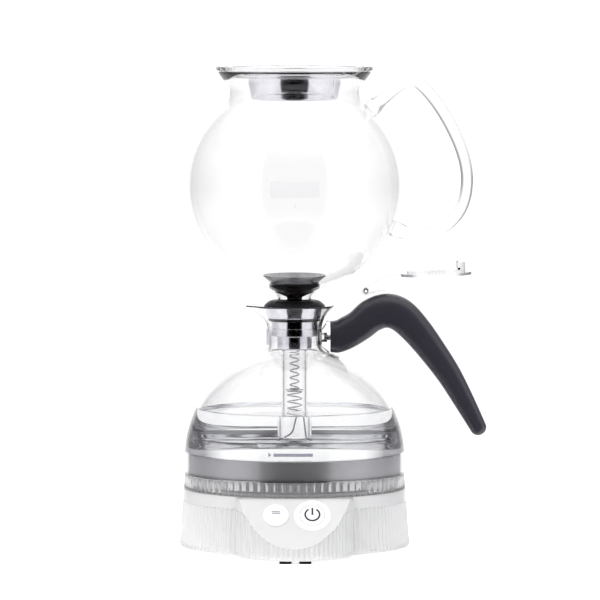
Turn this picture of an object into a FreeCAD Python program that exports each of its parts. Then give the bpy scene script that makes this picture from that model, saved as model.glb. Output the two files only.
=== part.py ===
import FreeCAD, Part
import math
import os

from FreeCAD import Rotation, Vector

# An electric siphon coffee maker: a mains base, a glass carafe with a steel heating dish, and a glass
# globe whose stem dips into the carafe.  Millimetres, +Z up, the vessels' axis on Z, the table at Z 0,
# the control panel towards -Y and the carafe's handle towards +X.

Z_AXIS = Vector(0, 0, 1)
CENTRE = Vector(0, 0, 0)
AXIS = (0, 0)

# ---- driving dimensions -------------------------------------------------------------------------

# base
DECK_Z = 45.0
HOUSING_BOTTOM_Z = 2.2
BASE_BOTTOM_R = 86.6
BASE_TOP_R = 83.6
BASE_WALL = 2.4
CONSOLE_Y = -75.0
CONSOLE_R = 43.5
PANEL_SLOPE = 50.0
PANEL_FOOT_Z = 10.6
POST_R = 13.8
LINER_R = 76.0
LINER_WALL = 1.6
SCREW_SPOTS = [(50.0, a) for a in (45, 135, 225, 315)]
GLAND_Z = 16.0
GLAND_BODY_R = 5.0
GLAND_BORE_R = 3.6
GLAND_INNER_Y = 80.0
GLAND_OUTER_Y = 88.5
BOARD_DEPTH = 12.4

# buttons, on the sloping panel
BUTTON_Y = -98.9
POWER_X = 13.2
POWER_R = 9.0
POWER_RING_R = 13.6
WARM_X = -13.6
WARM_R = 9.6
BUTTON_PROUD = 1.6
BUTTON_GAP = 0.3

# carafe
COLLAR_TOP_Z = 56.2
COLLAR_R = 83.4
CARAFE_R = 82.8
CARAFE_CENTRE_Z = 68.2
CARAFE_WALL = 2.4
NECK_R = 20.25
NECK_FILLET = 5.0
FLARE_START_Z = 162.5
FLARE_R = 24.0
LIP_Z = 181.5
DISH_R = 79.8
DISH_PLATE_Z = 68.0
DISH_RIM_Z = 71.8
ELEMENT_R = 46.0
ELEMENT_TUBE = 3.3
ELEMENT_Z = 60.6
COVER_SCREW_R = 62.0
COVER_SCREW_TURNS = (30, 150, 270)

# handle and hinged carafe lid
HANDLE_FACE_X = 27.0
HANDLE_SCREW_Z = 158.5
HINGE_X = 53.6
HINGE_Z = 193.4
KNUCKLE_R = 2.6
PIN_R = 1.1
LID_CENTRE_X = 106.8
LID_R = 26.8
LID_Z = 203.3
LID_THICK = 2.0
LID_TILT = 2.0

# The grip's spine from the neck to the tip: place, heading in degrees, half height and half width.
GRIP = [
    (25.0, 159.2, 0, 11.4, 9.0),
    (34.0, 159.4, 10, 12.2, 10.2),
    (48.0, 166.8, 40, 12.0, 10.8),
    (58.0, 174.8, 30, 12.6, 11.0),
    (69.0, 178.4, 0, 12.9, 11.0),
    (80.0, 175.0, -32, 12.6, 11.0),
    (91.5, 163.8, -48, 11.6, 10.6),
    (104.0, 147.8, -53, 10.4, 9.8),
    (116.5, 129.8, -57, 9.2, 8.8),
    (128.0, 109.6, -61, 7.8, 7.6),
    (138.3, 90.4, -63, 6.2, 6.0),
]
GRIP_SQUARENESS = 2.6
GRIP_STEPS = 3

# globe
GLOBE_R = 81.0
GLOBE_CENTRE_Z = 272.25
GLOBE_WALL = 2.2
THROAT_R = 13.1
THROAT_FILLET = 8.0
MOUTH_R = 50.0
MOUTH_ARC = 13.9
MOUTH_SPREAD = 36.0
RIM_Z = 357.0
STEM_TOP_Z = 172.0
STEM_BOTTOM_Z = 79.5
STEM_R = 9.75
STEM_WALL = 1.85

# The glass rod handle's corners, in the X-Z plane, from its top root to its lower one.
GLOBE_HANDLE = [
    (54.5, 327.2),
    (82.6, 352.0),
    (92.9, 352.0),
    (113.0, 327.5),
    (129.6, 291.5),
    (129.6, 263.6),
    (119.6, 245.5),
    (101.9, 235.8),
    (86.9, 235.8),
    (68.0, 242.0),
]
GLOBE_HANDLE_R = 4.6

# stopper, filter and lid of the globe
COLLAR_SHELL = 0.8
STOPPER_TOP_Z = 186.4
STEPS = [(22.9, 181.2), (19.6, 172.9), (17.5, 170.7), (17.5, 159.4), (13.1, 159.4), (13.1, 148.9)]
SPRING_R = 3.4
SPRING_WIRE_R = 0.42
SPRING_TURNS = 12
SPRING_PITCH = 5.3
LOWER_SPRING_R = 5.4
LOWER_SPRING_Z = 102.5
LOWER_SPRING_TURNS = 3
LOWER_SPRING_PITCH = 5.0
WASHER_Z = 119.0
HOOK_WIRE_R = 0.45
HOOK_EYE_Z = 101.0
LID_TOP_Z = 361.9

# ---- helpers ------------------------------------------------------------------------------------


def polar(centre, radius, degrees):
    """A point of the r-z plane at an angle about a centre."""
    a = math.radians(degrees)
    return (centre[0] + radius * math.cos(a), centre[1] + radius * math.sin(a))


def lathe(points):
    """A solid of revolution about Z from a closed outline of (r, z) points."""
    corners = [Vector(r, 0, z) for r, z in points]
    face = Part.Face(Part.makePolygon(corners + corners[:1]))
    return face.revolve(CENTRE, Z_AXIS, 360)


def ring(inner, outer, low, high):
    """A plain ring or, with inner 0, a disc."""
    solid = Part.makeCylinder(outer, high - low, Vector(0, 0, low))
    if inner:
        solid = solid.cut(Part.makeCylinder(inner, high - low, Vector(0, 0, low)))
    return solid


def box(x0, x1, y0, y1, z0, z1):
    return Part.makeBox(x1 - x0, y1 - y0, z1 - z0, Vector(x0, y0, z0))


def rod(radius, start, end):
    """A round bar from one point to another."""
    along = Vector(*end) - Vector(*start)
    return Part.makeCylinder(radius, along.Length, Vector(*start), along)


def path_edge(step, shift):
    """One stretch of a wall's path, moved to its left by shift: a line, or an arc about a centre."""
    if step[0] == "line":
        (r0, z0), (r1, z1) = step[1], step[2]
        length = math.hypot(r1 - r0, z1 - z0)
        left = (-(z1 - z0) / length * shift, (r1 - r0) / length * shift)
        ends = [(r0 + left[0], z0 + left[1]), (r1 + left[0], z1 + left[1])]
        return Part.makeLine(Vector(ends[0][0], 0, ends[0][1]), Vector(ends[1][0], 0, ends[1][1])), ends
    centre, radius, first, last = step[1:]
    radius += -shift if last > first else shift
    three = [polar(centre, radius, a) for a in (first, (first + last) / 2, last)]
    arc = Part.Arc(*[Vector(r, 0, z) for r, z in three]).toShape()
    return arc, [three[0], three[2]]


def spin(edges):
    """The solid of revolution about Z of the face inside a closed set of edges."""
    face = Part.Face(Part.Wire(Part.__sortEdges__(edges)))
    return face.revolve(CENTRE, Z_AXIS, 360)


def glass_wall(path, thickness):
    """A blown shell: the path is its outer line, bottom to top, and the wall lies on the axis side."""
    outer = [path_edge(step, 0.0) for step in path]
    inner = [path_edge(step, thickness) for step in path]
    edges = [e for e, _ in outer + inner]
    for which, end in ((0, 0), (-1, 1)):
        a, b = outer[which][1][end], inner[which][1][end]
        edges.append(Part.makeLine(Vector(a[0], 0, a[1]), Vector(b[0], 0, b[1])))
    return spin(edges)


def glass_core(path, shift):
    """The solid body, axis and all, inside a path moved to the axis side by shift."""
    steps = [path_edge(step, shift) for step in path]
    low, high = steps[0][1][0], steps[-1][1][1]
    edges = [e for e, _ in steps]
    corners = [(low[0], low[1]), (0, low[1]), (0, high[1]), (high[0], high[1])]
    for a, b in zip(corners, corners[1:]):
        edges.append(Part.makeLine(Vector(a[0], 0, a[1]), Vector(b[0], 0, b[1])))
    return spin(edges)


def tangent_circle(ball_centre_z, ball_r, circle_r_from_axis, circle_r):
    """The height of a circle that touches a ball from outside, and the direction to it, in degrees."""
    reach = ball_r + circle_r
    rise = math.sqrt(reach**2 - circle_r_from_axis**2)
    return rise, math.degrees(math.atan2(rise, circle_r_from_axis))


def rounded_wire(points, share=0.45):
    """Straight runs joined by tangent arcs, each as large as its two runs allow."""
    pts = [Vector(*p) for p in points]
    edges, at = [], pts[0]
    for before, corner, after in zip(pts, pts[1:], pts[2:]):
        to_before = (before - corner).normalize()
        to_after = (after - corner).normalize()
        cut = share * min((before - corner).Length, (after - corner).Length)
        turn = math.pi - to_before.getAngle(to_after)
        radius = cut / math.tan(turn / 2)
        start, end = corner + to_before * cut, corner + to_after * cut
        inward = (to_before + to_after).normalize()
        middle = corner + inward * (radius / math.cos(turn / 2) - radius)
        if (start - at).Length > 1e-6:
            edges.append(Part.makeLine(at, start))
        edges.append(Part.Arc(start, middle, end).toShape())
        at = end
    edges.append(Part.makeLine(at, pts[-1]))
    return Part.Wire(edges)


def tube_along(wire, radius):
    """A round bar swept along a wire."""
    start = wire.Vertexes[0].Point
    first = wire.Edges[0]
    direction = first.tangentAt(first.FirstParameter)
    profile = Part.Wire([Part.makeCircle(radius, start, direction)])
    return wire.makePipeShell([profile], True, True)


def coil(radius, wire_r, low, turns, pitch):
    """A round-wire coil spring about Z."""
    helix = Part.makeHelix(pitch, turns * pitch, radius)
    profile = Part.Wire([Part.makeCircle(wire_r, Vector(radius, 0, 0), Vector(0, 1, 0))])
    spring = Part.Wire(helix).makePipeShell([profile], True, True)
    spring.translate(Vector(0, 0, low))
    return spring


def around(shape, count, start=0.0):
    """A copy of a shape at each of count even places about Z."""
    copies = []
    for i in range(count):
        one = shape.copy()
        one.rotate(CENTRE, Z_AXIS, start + 360.0 * i / count)
        copies.append(one)
    return copies


def panel(shape, x=0.0, up=0.0):
    """Moves a shape from panel axes (X across, Y up the slope, Z out of the panel) onto the panel."""
    moved = shape.copy()
    moved.translate(Vector(x, up, 0))
    moved.rotate(CENTRE, Vector(1, 0, 0), PANEL_SLOPE)
    moved.translate(Vector(0, BUTTON_Y, panel_z(BUTTON_Y)))
    return moved


def panel_z(y):
    """The panel's height at a depth."""
    return PANEL_FOOT_Z + math.tan(math.radians(PANEL_SLOPE)) * (y - CONSOLE_Y + CONSOLE_R)


def save(name, *solids):
    shape = solids[0] if len(solids) == 1 else Part.makeCompound(list(solids))
    shape.exportStep(f"parts/{name}.step")


# ---- base ---------------------------------------------------------------------------------------


def base_block(inset, low, high):
    """The base's outside form, or with an inset its inside: a round drum with a round console."""
    rise = DECK_Z - HOUSING_BOTTOM_Z
    taper = (BASE_BOTTOM_R - BASE_TOP_R) / rise
    low_r = BASE_BOTTOM_R - taper * (low - HOUSING_BOTTOM_Z) - inset
    high_r = BASE_BOTTOM_R - taper * (high - HOUSING_BOTTOM_Z) - inset
    drum = Part.makeCone(low_r, high_r, high - low, Vector(0, 0, low))
    console = Part.makeCylinder(CONSOLE_R - inset, high - low, Vector(0, CONSOLE_Y, low))
    above = panel(Part.makeBox(240, 240, 120, Vector(-120, -120, -inset)))
    return drum.fuse(console.cut(above)).removeSplitter()


def make_base_housing():
    shell = base_block(0, HOUSING_BOTTOM_Z, DECK_Z).cut(
        base_block(BASE_WALL, HOUSING_BOTTOM_Z - 1, DECK_Z - BASE_WALL)
    )
    shell = shell.cut(Part.makeCylinder(POST_R + 0.4, 10, Vector(0, 0, DECK_Z - 5)))
    for x, r in ((POWER_X, POWER_R), (WARM_X, WARM_R)):
        shell = shell.cut(panel(Part.makeCylinder(r + BUTTON_GAP, 20, Vector(0, 0, -10)), x))
    return shell.cut(rod(GLAND_BODY_R + 0.05, (0, 70, GLAND_Z), (0, 100, GLAND_Z)))


def make_cable_gland():
    """A bush through the back wall that the mains lead would pass; its bore is open at both ends."""
    bush = rod(GLAND_BODY_R, (0, GLAND_INNER_Y, GLAND_Z), (0, GLAND_OUTER_Y, GLAND_Z))
    wall_clear = base_block(-0.15, HOUSING_BOTTOM_Z, DECK_Z)
    outer_flange = rod(7.2, (0, 84.0, GLAND_Z), (0, GLAND_OUTER_Y, GLAND_Z)).cut(wall_clear)
    inner_clear = base_block(BASE_WALL + 0.15, HOUSING_BOTTOM_Z, DECK_Z)
    inner_flange = rod(6.6, (0, GLAND_INNER_Y, GLAND_Z), (0, 86.0, GLAND_Z)).common(inner_clear)
    bush = bush.fuse([outer_flange, inner_flange]).removeSplitter()
    bore = rod(GLAND_BORE_R, (0, GLAND_INNER_Y - 1, GLAND_Z), (0, GLAND_OUTER_Y + 1, GLAND_Z))
    return bush.cut(bore)


def make_base_liner():
    """The white inner tub that hides the works, with a wire window to the console and screw bosses."""
    wall = ring(LINER_R - LINER_WALL, LINER_R, 4.8, 42.4)
    top = ring(POST_R + 0.4, LINER_R - LINER_WALL, 40.8, 42.4)
    liner = wall.fuse(top)
    for r, a in SCREW_SPOTS:
        x, y = polar(AXIS, r, a)
        boss = Part.makeCylinder(4.0, 40.8 - 4.8, Vector(x, y, 4.8))
        boss = boss.cut(Part.makeCylinder(1.7, 9, Vector(x, y, 4.8)))
        liner = liner.fuse(boss)
    liner = liner.cut(box(-22, 22, -90, -60, 4.0, 22.0))
    return liner.cut(rod(7.2, (0, 60, GLAND_Z), (0, 90, GLAND_Z))).removeSplitter()


def make_bottom_plate():
    plate = base_block(BASE_WALL + 0.4, HOUSING_BOTTOM_Z, HOUSING_BOTTOM_Z + 2.4)
    for r, a in SCREW_SPOTS:
        x, y = polar(AXIS, r, a)
        plate = plate.cut(Part.makeCylinder(1.8, 10, Vector(x, y, 0)))
    return plate


def make_bottom_screws():
    screws = []
    for r, a in SCREW_SPOTS:
        x, y = polar(AXIS, r, a)
        head = Part.makeCylinder(3.2, 1.2, Vector(x, y, HOUSING_BOTTOM_Z - 1.2))
        head = head.cut(box(x - 2.4, x + 2.4, y - 0.4, y + 0.4, 0, 1.6))
        shank = Part.makeCylinder(1.6, 10.0, Vector(x, y, HOUSING_BOTTOM_Z))
        screws.append(head.fuse(shank).removeSplitter())
    return screws


def make_front_feet():
    """Two small pads under the front of the console."""
    feet = []
    for x in (-6.5, 8.0):
        pad = box(x - 4.5, x + 4.5, -115, -106, 0, HOUSING_BOTTOM_Z)
        feet.append(pad.makeFillet(2.0, [e for e in pad.Edges if abs(e.tangentAt(0).z) > 0.9]))
    return feet


def make_connector_post():
    """The plug half of the cordless connector, standing through the deck."""
    return lathe(
        [
            (3.0, 38.4),
            (19.0, 38.4),
            (19.0, 40.6),
            (POST_R, 40.6),
            (POST_R, 50.9),
            (12.8, 51.9),
            (9.9, 51.9),
            (9.9, 47.0),
            (7.9, 47.0),
            (7.9, 51.9),
            (4.4, 51.9),
            (4.4, 47.0),
            (3.0, 47.0),
        ]
    )


def make_connector_contacts():
    """Brass: a centre pin and, in the post's groove, a ring."""
    pin = lathe([(0, 36.5), (2.8, 36.5), (2.8, 53.2), (1.6, 54.6), (0, 54.6)])
    band = ring(8.1, 8.9, 47.0, 50.6)
    return [pin, band]


def make_control_board():
    board = Part.makeBox(58, 26, 1.6, Vector(-29, -16, -BOARD_DEPTH - 1.6))
    for x in (-24.5, 24.5):
        board = board.cut(Part.makeCylinder(1.6, 10, Vector(x, 5, -BOARD_DEPTH - 5)))
    return panel(board)


def make_board_switches():
    """Two push switches under the caps."""
    switches = []
    for x in (WARM_X, POWER_X):
        can = Part.makeBox(6, 6, 3.4, Vector(-3, -3, -BOARD_DEPTH))
        stub = Part.makeCylinder(1.7, 1.4, Vector(0, 0, -BOARD_DEPTH + 3.4))
        switches.append(panel(can.fuse(stub).removeSplitter(), x))
    return switches


def make_board_lights():
    """Two indicator lamps beside the switches."""
    lamps = []
    for x in (WARM_X + 7.0, POWER_X - 7.0):
        lamp = Part.makeCylinder(1.4, 2.6, Vector(0, 0, -BOARD_DEPTH))
        dome = Part.makeSphere(1.4, Vector(0, 0, -BOARD_DEPTH + 2.6))
        lamps.append(panel(lamp.fuse(dome).removeSplitter(), x, -7.0))
    return lamps


def make_board_posts():
    """Two pillars that carry the board from the bottom plate."""
    posts = []
    bottom = HOUSING_BOTTOM_Z + 2.4
    under_board = panel(Part.makeBox(240, 240, 120, Vector(-120, -120, -BOARD_DEPTH - 1.6)))
    for x in (-24.5, 24.5):
        pillar = Part.makeCylinder(3.6, 40, Vector(x, -87.5, bottom))
        posts.append(pillar.cut(under_board))
    return posts


def make_mains_terminal():
    block = box(-11, 11, 50, 62, HOUSING_BOTTOM_Z + 2.4, 17.0)
    for x in (-7, 0, 7):
        block = block.cut(Part.makeCylinder(1.7, 8, Vector(x, 56, 11)))
    return block


def make_cap(radius):
    """A push cap with a retaining flange and a stub towards its switch."""
    return lathe(
        [
            (0, -6.0),
            (2.4, -6.0),
            (2.4, -4.0),
            (radius + 1.3, -4.0),
            (radius + 1.3, -2.7),
            (radius, -2.7),
            (radius, BUTTON_PROUD - 0.6),
            (radius - 0.6, BUTTON_PROUD),
            (0, BUTTON_PROUD),
        ]
    )


def make_power_ring():
    inner = POWER_R + BUTTON_GAP
    outline = [(inner, 0), (POWER_RING_R, 0), (POWER_RING_R, 0.5), (POWER_RING_R - 0.7, 1.2), (inner, 1.2)]
    return panel(lathe(outline), POWER_X)


def make_lead(x, rows):
    """One inner lead, from its first point to its last."""
    return tube_along(rounded_wire([(x + dx, y, z) for dx, y, z in rows]), 1.0)


def make_leads():
    """Three insulated leads from the board, through the liner's window, to the connector."""
    route = [(0, -96, 12.0), (1.5, -90, 8.5), (-1, -76, 7.5), (1, -58, 8.0), (0, -40, 10.5)]
    route += [(-0.5, -24, 17), (0.5, -14, 27), (0, -10.5, 37.6)]
    return {name: make_lead(x, route) for name, x in (("lead_brown", -8), ("lead_blue", 8))}


def make_earth_lead():
    route = [(0, -97, 12.2), (-1.5, -91, 8.6), (1, -78, 7.6), (-1, -60, 7.6), (0.5, -42, 9.5)]
    route += [(0, -26, 14), (0, -17, 26), (0, -13, 37.6)]
    return make_lead(0, route)


# ---- carafe -------------------------------------------------------------------------------------


def spout_cone(inset):
    """The lip's spout: a cone that leans out to -X."""
    low, high = Vector(-14.0, 0, 166.0), Vector(-28.0, 0, LIP_Z + 3.5)
    return Part.makeCone(5.4 - inset, 10.6 - inset, (high - low).Length, low, high - low)


def make_carafe_glass():
    """A dome with a straight foot, a narrow neck and a flared lip with a spout."""
    rise, direction = tangent_circle(CARAFE_CENTRE_Z, CARAFE_R, NECK_R + NECK_FILLET, NECK_FILLET)
    fillet = (NECK_R + NECK_FILLET, CARAFE_CENTRE_Z + rise)
    flare = (NECK_R + FLARE_R, FLARE_START_Z)
    spread = math.degrees(math.asin((LIP_Z + 1.0 - FLARE_START_Z) / FLARE_R))
    path = [
        ("line", (CARAFE_R, COLLAR_TOP_Z + 1.0), (CARAFE_R, CARAFE_CENTRE_Z)),
        ("arc", (0, CARAFE_CENTRE_Z), CARAFE_R, 0.0, direction),
        ("arc", fillet, NECK_FILLET, 180 + direction, 180.0),
        ("line", (NECK_R, fillet[1]), (NECK_R, FLARE_START_Z)),
        ("arc", flare, FLARE_R, 180.0, 180.0 - spread),
    ]
    outside = glass_core(path, 0).fuse(spout_cone(0))
    inside = glass_core(path, CARAFE_WALL).fuse(spout_cone(CARAFE_WALL))
    glass = outside.cut(inside)
    return glass.cut(Part.makeCylinder(60, 20, Vector(0, 0, LIP_Z)))


def make_collar():
    """The clear ring that the glass stands on, with an inner ledge for the bottom cover."""
    return lathe(
        [
            (80.2, DECK_Z),
            (COLLAR_R, DECK_Z),
            (COLLAR_R, DECK_Z + 2),
            (COLLAR_R - 0.6, COLLAR_TOP_Z),
            (80.2, COLLAR_TOP_Z),
        ]
    )


def make_heater_dish():
    """Stainless: a flat hot plate inside a low rim, with a deep skirt behind the glass."""
    t = 0.8
    return lathe(
        [
            (DISH_R - t, 49.0),
            (DISH_R, 49.0),
            (DISH_R, DISH_RIM_Z - 0.6),
            (DISH_R - 0.6, DISH_RIM_Z),
            (DISH_R - 1.2, DISH_RIM_Z - 0.4),
            (DISH_R - 3.2, DISH_PLATE_Z),
            (0, DISH_PLATE_Z),
            (0, DISH_PLATE_Z - t),
            (DISH_R - 3.6, DISH_PLATE_Z - t),
            (DISH_R - t - 1.2, DISH_RIM_Z - 3.0),
            (DISH_R - t, DISH_RIM_Z - 3.4),
        ]
    )


def make_heating_element():
    """A sheathed heater bent to an open ring, its two cold ends turned down."""
    first, last = math.radians(-75), math.radians(255)
    spots = [Vector(ELEMENT_R * math.cos(a), ELEMENT_R * math.sin(a), ELEMENT_Z)
             for a in (first, (first + last) / 2, last)]
    arc = Part.Wire([Part.Arc(*spots).toShape()])
    solid = tube_along(arc, ELEMENT_TUBE)
    for p in (spots[0], spots[2]):
        solid = solid.fuse(Part.makeSphere(ELEMENT_TUBE, p))
        solid = solid.fuse(Part.makeCylinder(1.6, 8.0, Vector(p.x, p.y, ELEMENT_Z - 8.0)))
    return solid.removeSplitter()


def make_bottom_cover():
    cover = ring(17.0, 79.9, DECK_Z + 0.6, DECK_Z + 2.6)
    for x, y in [polar(AXIS, COVER_SCREW_R, a) for a in COVER_SCREW_TURNS]:
        cover = cover.cut(Part.makeCylinder(1.9, 10, Vector(x, y, DECK_Z - 2)))
    return cover


def make_cover_screws():
    screws = []
    for x, y in [polar(AXIS, COVER_SCREW_R, a) for a in COVER_SCREW_TURNS]:
        shank = Part.makeCylinder(1.7, 14.0, Vector(x, y, DECK_Z + 0.6))
        head = Part.makeCylinder(3.2, 1.4, Vector(x, y, DECK_Z + 2.7))
        screws.append(shank.fuse(head).removeSplitter())
    return screws


def make_cover_pillars():
    """Threaded pillars under the heat spreader that take the cover screws."""
    pillars = []
    for x, y in [polar(AXIS, COVER_SCREW_R, a) for a in COVER_SCREW_TURNS]:
        pillar = Part.makeCylinder(4.0, 16.0, Vector(x, y, 51.0))
        pillars.append(pillar.cut(Part.makeCylinder(1.75, 9.0, Vector(x, y, 51.0))))
    return pillars


def make_thermostat():
    """The socket half of the cordless connector with the boil-dry cut-out on its back."""
    return lathe(
        [
            (15.2, 47.8),
            (24.0, 47.8),
            (24.0, 57.6),
            (10.0, 57.6),
            (10.0, 63.9),
            (0, 63.9),
            (0, 55.6),
            (15.2, 55.6),
        ]
    )


def make_neck_band(grip):
    """A clear band round the neck with a block that carries the handle and a lip under its corner."""
    band = ring(NECK_R + 0.3, NECK_R + 1.7, 153.0, 164.6)
    block = box(15, HANDLE_FACE_X, -8, 8, 146.0, 170.6)
    block = block.makeFillet(2.0, [e for e in block.Edges if abs(e.tangentAt(0).x) > 0.9])
    block = block.fuse(box(20, 34, -6.5, 6.5, 143.0, 148.5))
    clear = Part.makeCylinder(NECK_R + 0.3, 40, Vector(0, 0, 140))
    shoulder = Part.makeSphere(CARAFE_R + 0.4, Vector(0, 0, CARAFE_CENTRE_Z))
    fillet_room = Part.makeCone(28.0, 20.4, 7.0, Vector(0, 0, 146.0))
    lip_room = Part.makeCone(NECK_R + 0.3, 26.0, 9.0, Vector(0, 0, 162.5))
    for room in (clear, shoulder, fillet_room, lip_room, grip):
        block = block.cut(room)
    block = max(block.Solids, key=lambda solid: solid.Volume)
    solid = band.fuse(block).removeSplitter()
    solid = solid.cut(rod(3.6, (18, 0, HANDLE_SCREW_Z), (24.4, 0, HANDLE_SCREW_Z)))
    return solid.cut(rod(2.1, (18, 0, HANDLE_SCREW_Z), (30, 0, HANDLE_SCREW_Z)))


def make_handle_screw():
    head = rod(3.4, (22.3, 0, HANDLE_SCREW_Z), (24.3, 0, HANDLE_SCREW_Z))
    shank = rod(1.9, (24.3, 0, HANDLE_SCREW_Z), (41.0, 0, HANDLE_SCREW_Z))
    return head.fuse(shank).removeSplitter()


def grip_section(x, z, heading, high, wide, count=24):
    """A squarish oval across the grip: the curve |u / high|^n + |v / wide|^n = 1."""
    points = []
    for i in range(count):
        a = 2 * math.pi * i / count
        c, s = math.cos(a), math.sin(a)
        u = high * math.copysign(abs(c) ** (2 / GRIP_SQUARENESS), c)
        v = wide * math.copysign(abs(s) ** (2 / GRIP_SQUARENESS), s)
        points.append(Vector(0, v, u))
    line = Part.BSplineCurve()
    line.interpolate(points, PeriodicFlag=True)
    wire = Part.Wire([line.toShape()])
    wire.rotate(CENTRE, Vector(0, 1, 0), -heading)
    wire.translate(Vector(x, 0, z))
    return wire


def between(a, b, c, d, t):
    """A smooth curve from b to c, at t between 0 and 1, that heads from a and on to d."""
    bend = 2 * b - 2 * c + (c - a) / 2 + (d - b) / 2
    sag = -3 * b + 3 * c - (c - a) - (d - b) / 2
    return b + (c - a) / 2 * t + sag * t**2 + bend * t**3


def grip_rows():
    """The grip's spine with smooth steps filled in."""
    padded = [GRIP[0]] + GRIP + [GRIP[-1]]
    rows = []
    for a, b, c, d in zip(padded, padded[1:], padded[2:], padded[3:]):
        for i in range(GRIP_STEPS):
            rows.append([between(*four, i / GRIP_STEPS) for four in zip(a, b, c, d)])
    return rows + [GRIP[-1]]


def make_handle_grip():
    body = Part.makeLoft([grip_section(*row) for row in grip_rows()], True, True)
    tip = Part.makeSphere(GRIP[-1][4], Vector(GRIP[-1][0], 0, GRIP[-1][1]))
    body = body.fuse(tip)
    body = body.cut(box(0, HANDLE_FACE_X, -30, 30, 120, 200))
    return body.cut(rod(2.0, (26, 0, HANDLE_SCREW_Z), (41.4, 0, HANDLE_SCREW_Z))).removeSplitter()


def make_hinge_block(grip):
    """Two ears on a small clear saddle on the crest of the grip, slotted for the lid's arm."""
    saddle = box(50.0, 69.0, -6.4, 6.4, 178.0, HINGE_Z)
    ears = [rod(KNUCKLE_R, (HINGE_X, y, HINGE_Z), (HINGE_X, y + 2.2, HINGE_Z)) for y in (-6.4, 4.2)]
    body = saddle.fuse(ears).removeSplitter()
    body = body.cut(rod(KNUCKLE_R + 0.4, (HINGE_X, -4.2, HINGE_Z), (HINGE_X, 4.2, HINGE_Z)))
    body = body.cut(box(HINGE_X - 4, HINGE_X + 7, -4.2, 4.2, HINGE_Z - 1.6, HINGE_Z + 4))
    body = body.cut(rod(PIN_R, (HINGE_X, -8, HINGE_Z), (HINGE_X, 8, HINGE_Z)))
    body = body.cut(grip)
    return max(body.Solids, key=lambda solid: solid.Volume)


def make_hinge_pin():
    pin = rod(PIN_R, (HINGE_X, -6.4, HINGE_Z), (HINGE_X, 6.4, HINGE_Z))
    heads = [rod(1.8, (HINGE_X, y, HINGE_Z), (HINGE_X, y + 0.8, HINGE_Z)) for y in (-7.2, 6.4)]
    return pin.fuse(heads).removeSplitter()


def make_carafe_lid():
    """The clear lid, swung right over on its hinge: a disc, its arm and knuckle, and the spout flap."""
    disc = Part.makeCylinder(LID_R, LID_THICK, Vector(LID_CENTRE_X, 0, LID_Z))
    lip = ring(LID_R - 5.6, LID_R - 4.0, LID_Z + LID_THICK, LID_Z + LID_THICK + 2.2)
    lip.translate(Vector(LID_CENTRE_X, 0, 0))
    flap = ring(LID_R - 5.6, LID_R - 4.0, LID_Z + LID_THICK, LID_Z + LID_THICK + 7.6)
    flap = flap.common(box(12.0, 40, -14, 14, LID_Z, LID_Z + 20))
    flap.translate(Vector(LID_CENTRE_X, 0, 0))
    side = [
        (HINGE_X - 2.0, HINGE_Z + 1.6),
        (HINGE_X + 12.0, HINGE_Z + 9.4),
        (HINGE_X + 22.0, LID_Z + LID_THICK),
        (LID_CENTRE_X - 20.0, LID_Z + LID_THICK),
        (LID_CENTRE_X - 20.0, LID_Z),
        (HINGE_X + 22.6, LID_Z),
        (HINGE_X + 13.0, HINGE_Z + 7.2),
        (HINGE_X + 2.4, HINGE_Z - 0.6),
    ]
    corners = [Vector(x, -3.9, z) for x, z in side]
    arm = Part.Face(Part.makePolygon(corners + corners[:1])).extrude(Vector(0, 7.8, 0))
    knuckle = rod(KNUCKLE_R, (HINGE_X, -3.9, HINGE_Z), (HINGE_X, 3.9, HINGE_Z))
    lid = disc.fuse([lip, flap, arm, knuckle]).removeSplitter()
    lid = lid.cut(rod(PIN_R + 0.05, (HINGE_X, -8, HINGE_Z), (HINGE_X, 8, HINGE_Z)))
    lid.rotate(Vector(HINGE_X, 0, HINGE_Z), Vector(0, 1, 0), -LID_TILT)
    return lid


# ---- globe --------------------------------------------------------------------------------------


def make_globe_glass():
    throat_r = THROAT_R + THROAT_FILLET
    drop, throat_dir = tangent_circle(GLOBE_CENTRE_Z, GLOBE_R, throat_r, THROAT_FILLET)
    throat = (throat_r, GLOBE_CENTRE_Z - drop)
    mouth_r = MOUTH_R + MOUTH_ARC
    rise, mouth_dir = tangent_circle(GLOBE_CENTRE_Z, GLOBE_R, mouth_r, MOUTH_ARC)
    mouth = (mouth_r, GLOBE_CENTRE_Z + rise)
    rim_foot = polar(mouth, MOUTH_ARC, 180 - MOUTH_SPREAD)
    rim = (rim_foot[0] + (RIM_Z - rim_foot[1]) * math.tan(math.radians(MOUTH_SPREAD)), RIM_Z)
    path = [
        ("line", (THROAT_R, STEM_TOP_Z + 0.2), (THROAT_R, throat[1])),
        ("arc", throat, THROAT_FILLET, 180.0, 180 - throat_dir),
        ("arc", (0, GLOBE_CENTRE_Z), GLOBE_R, -throat_dir, mouth_dir),
        ("arc", mouth, MOUTH_ARC, 180 + mouth_dir, 180 - MOUTH_SPREAD),
        ("line", rim_foot, rim),
    ]
    return glass_wall(path, GLOBE_WALL)


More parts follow.
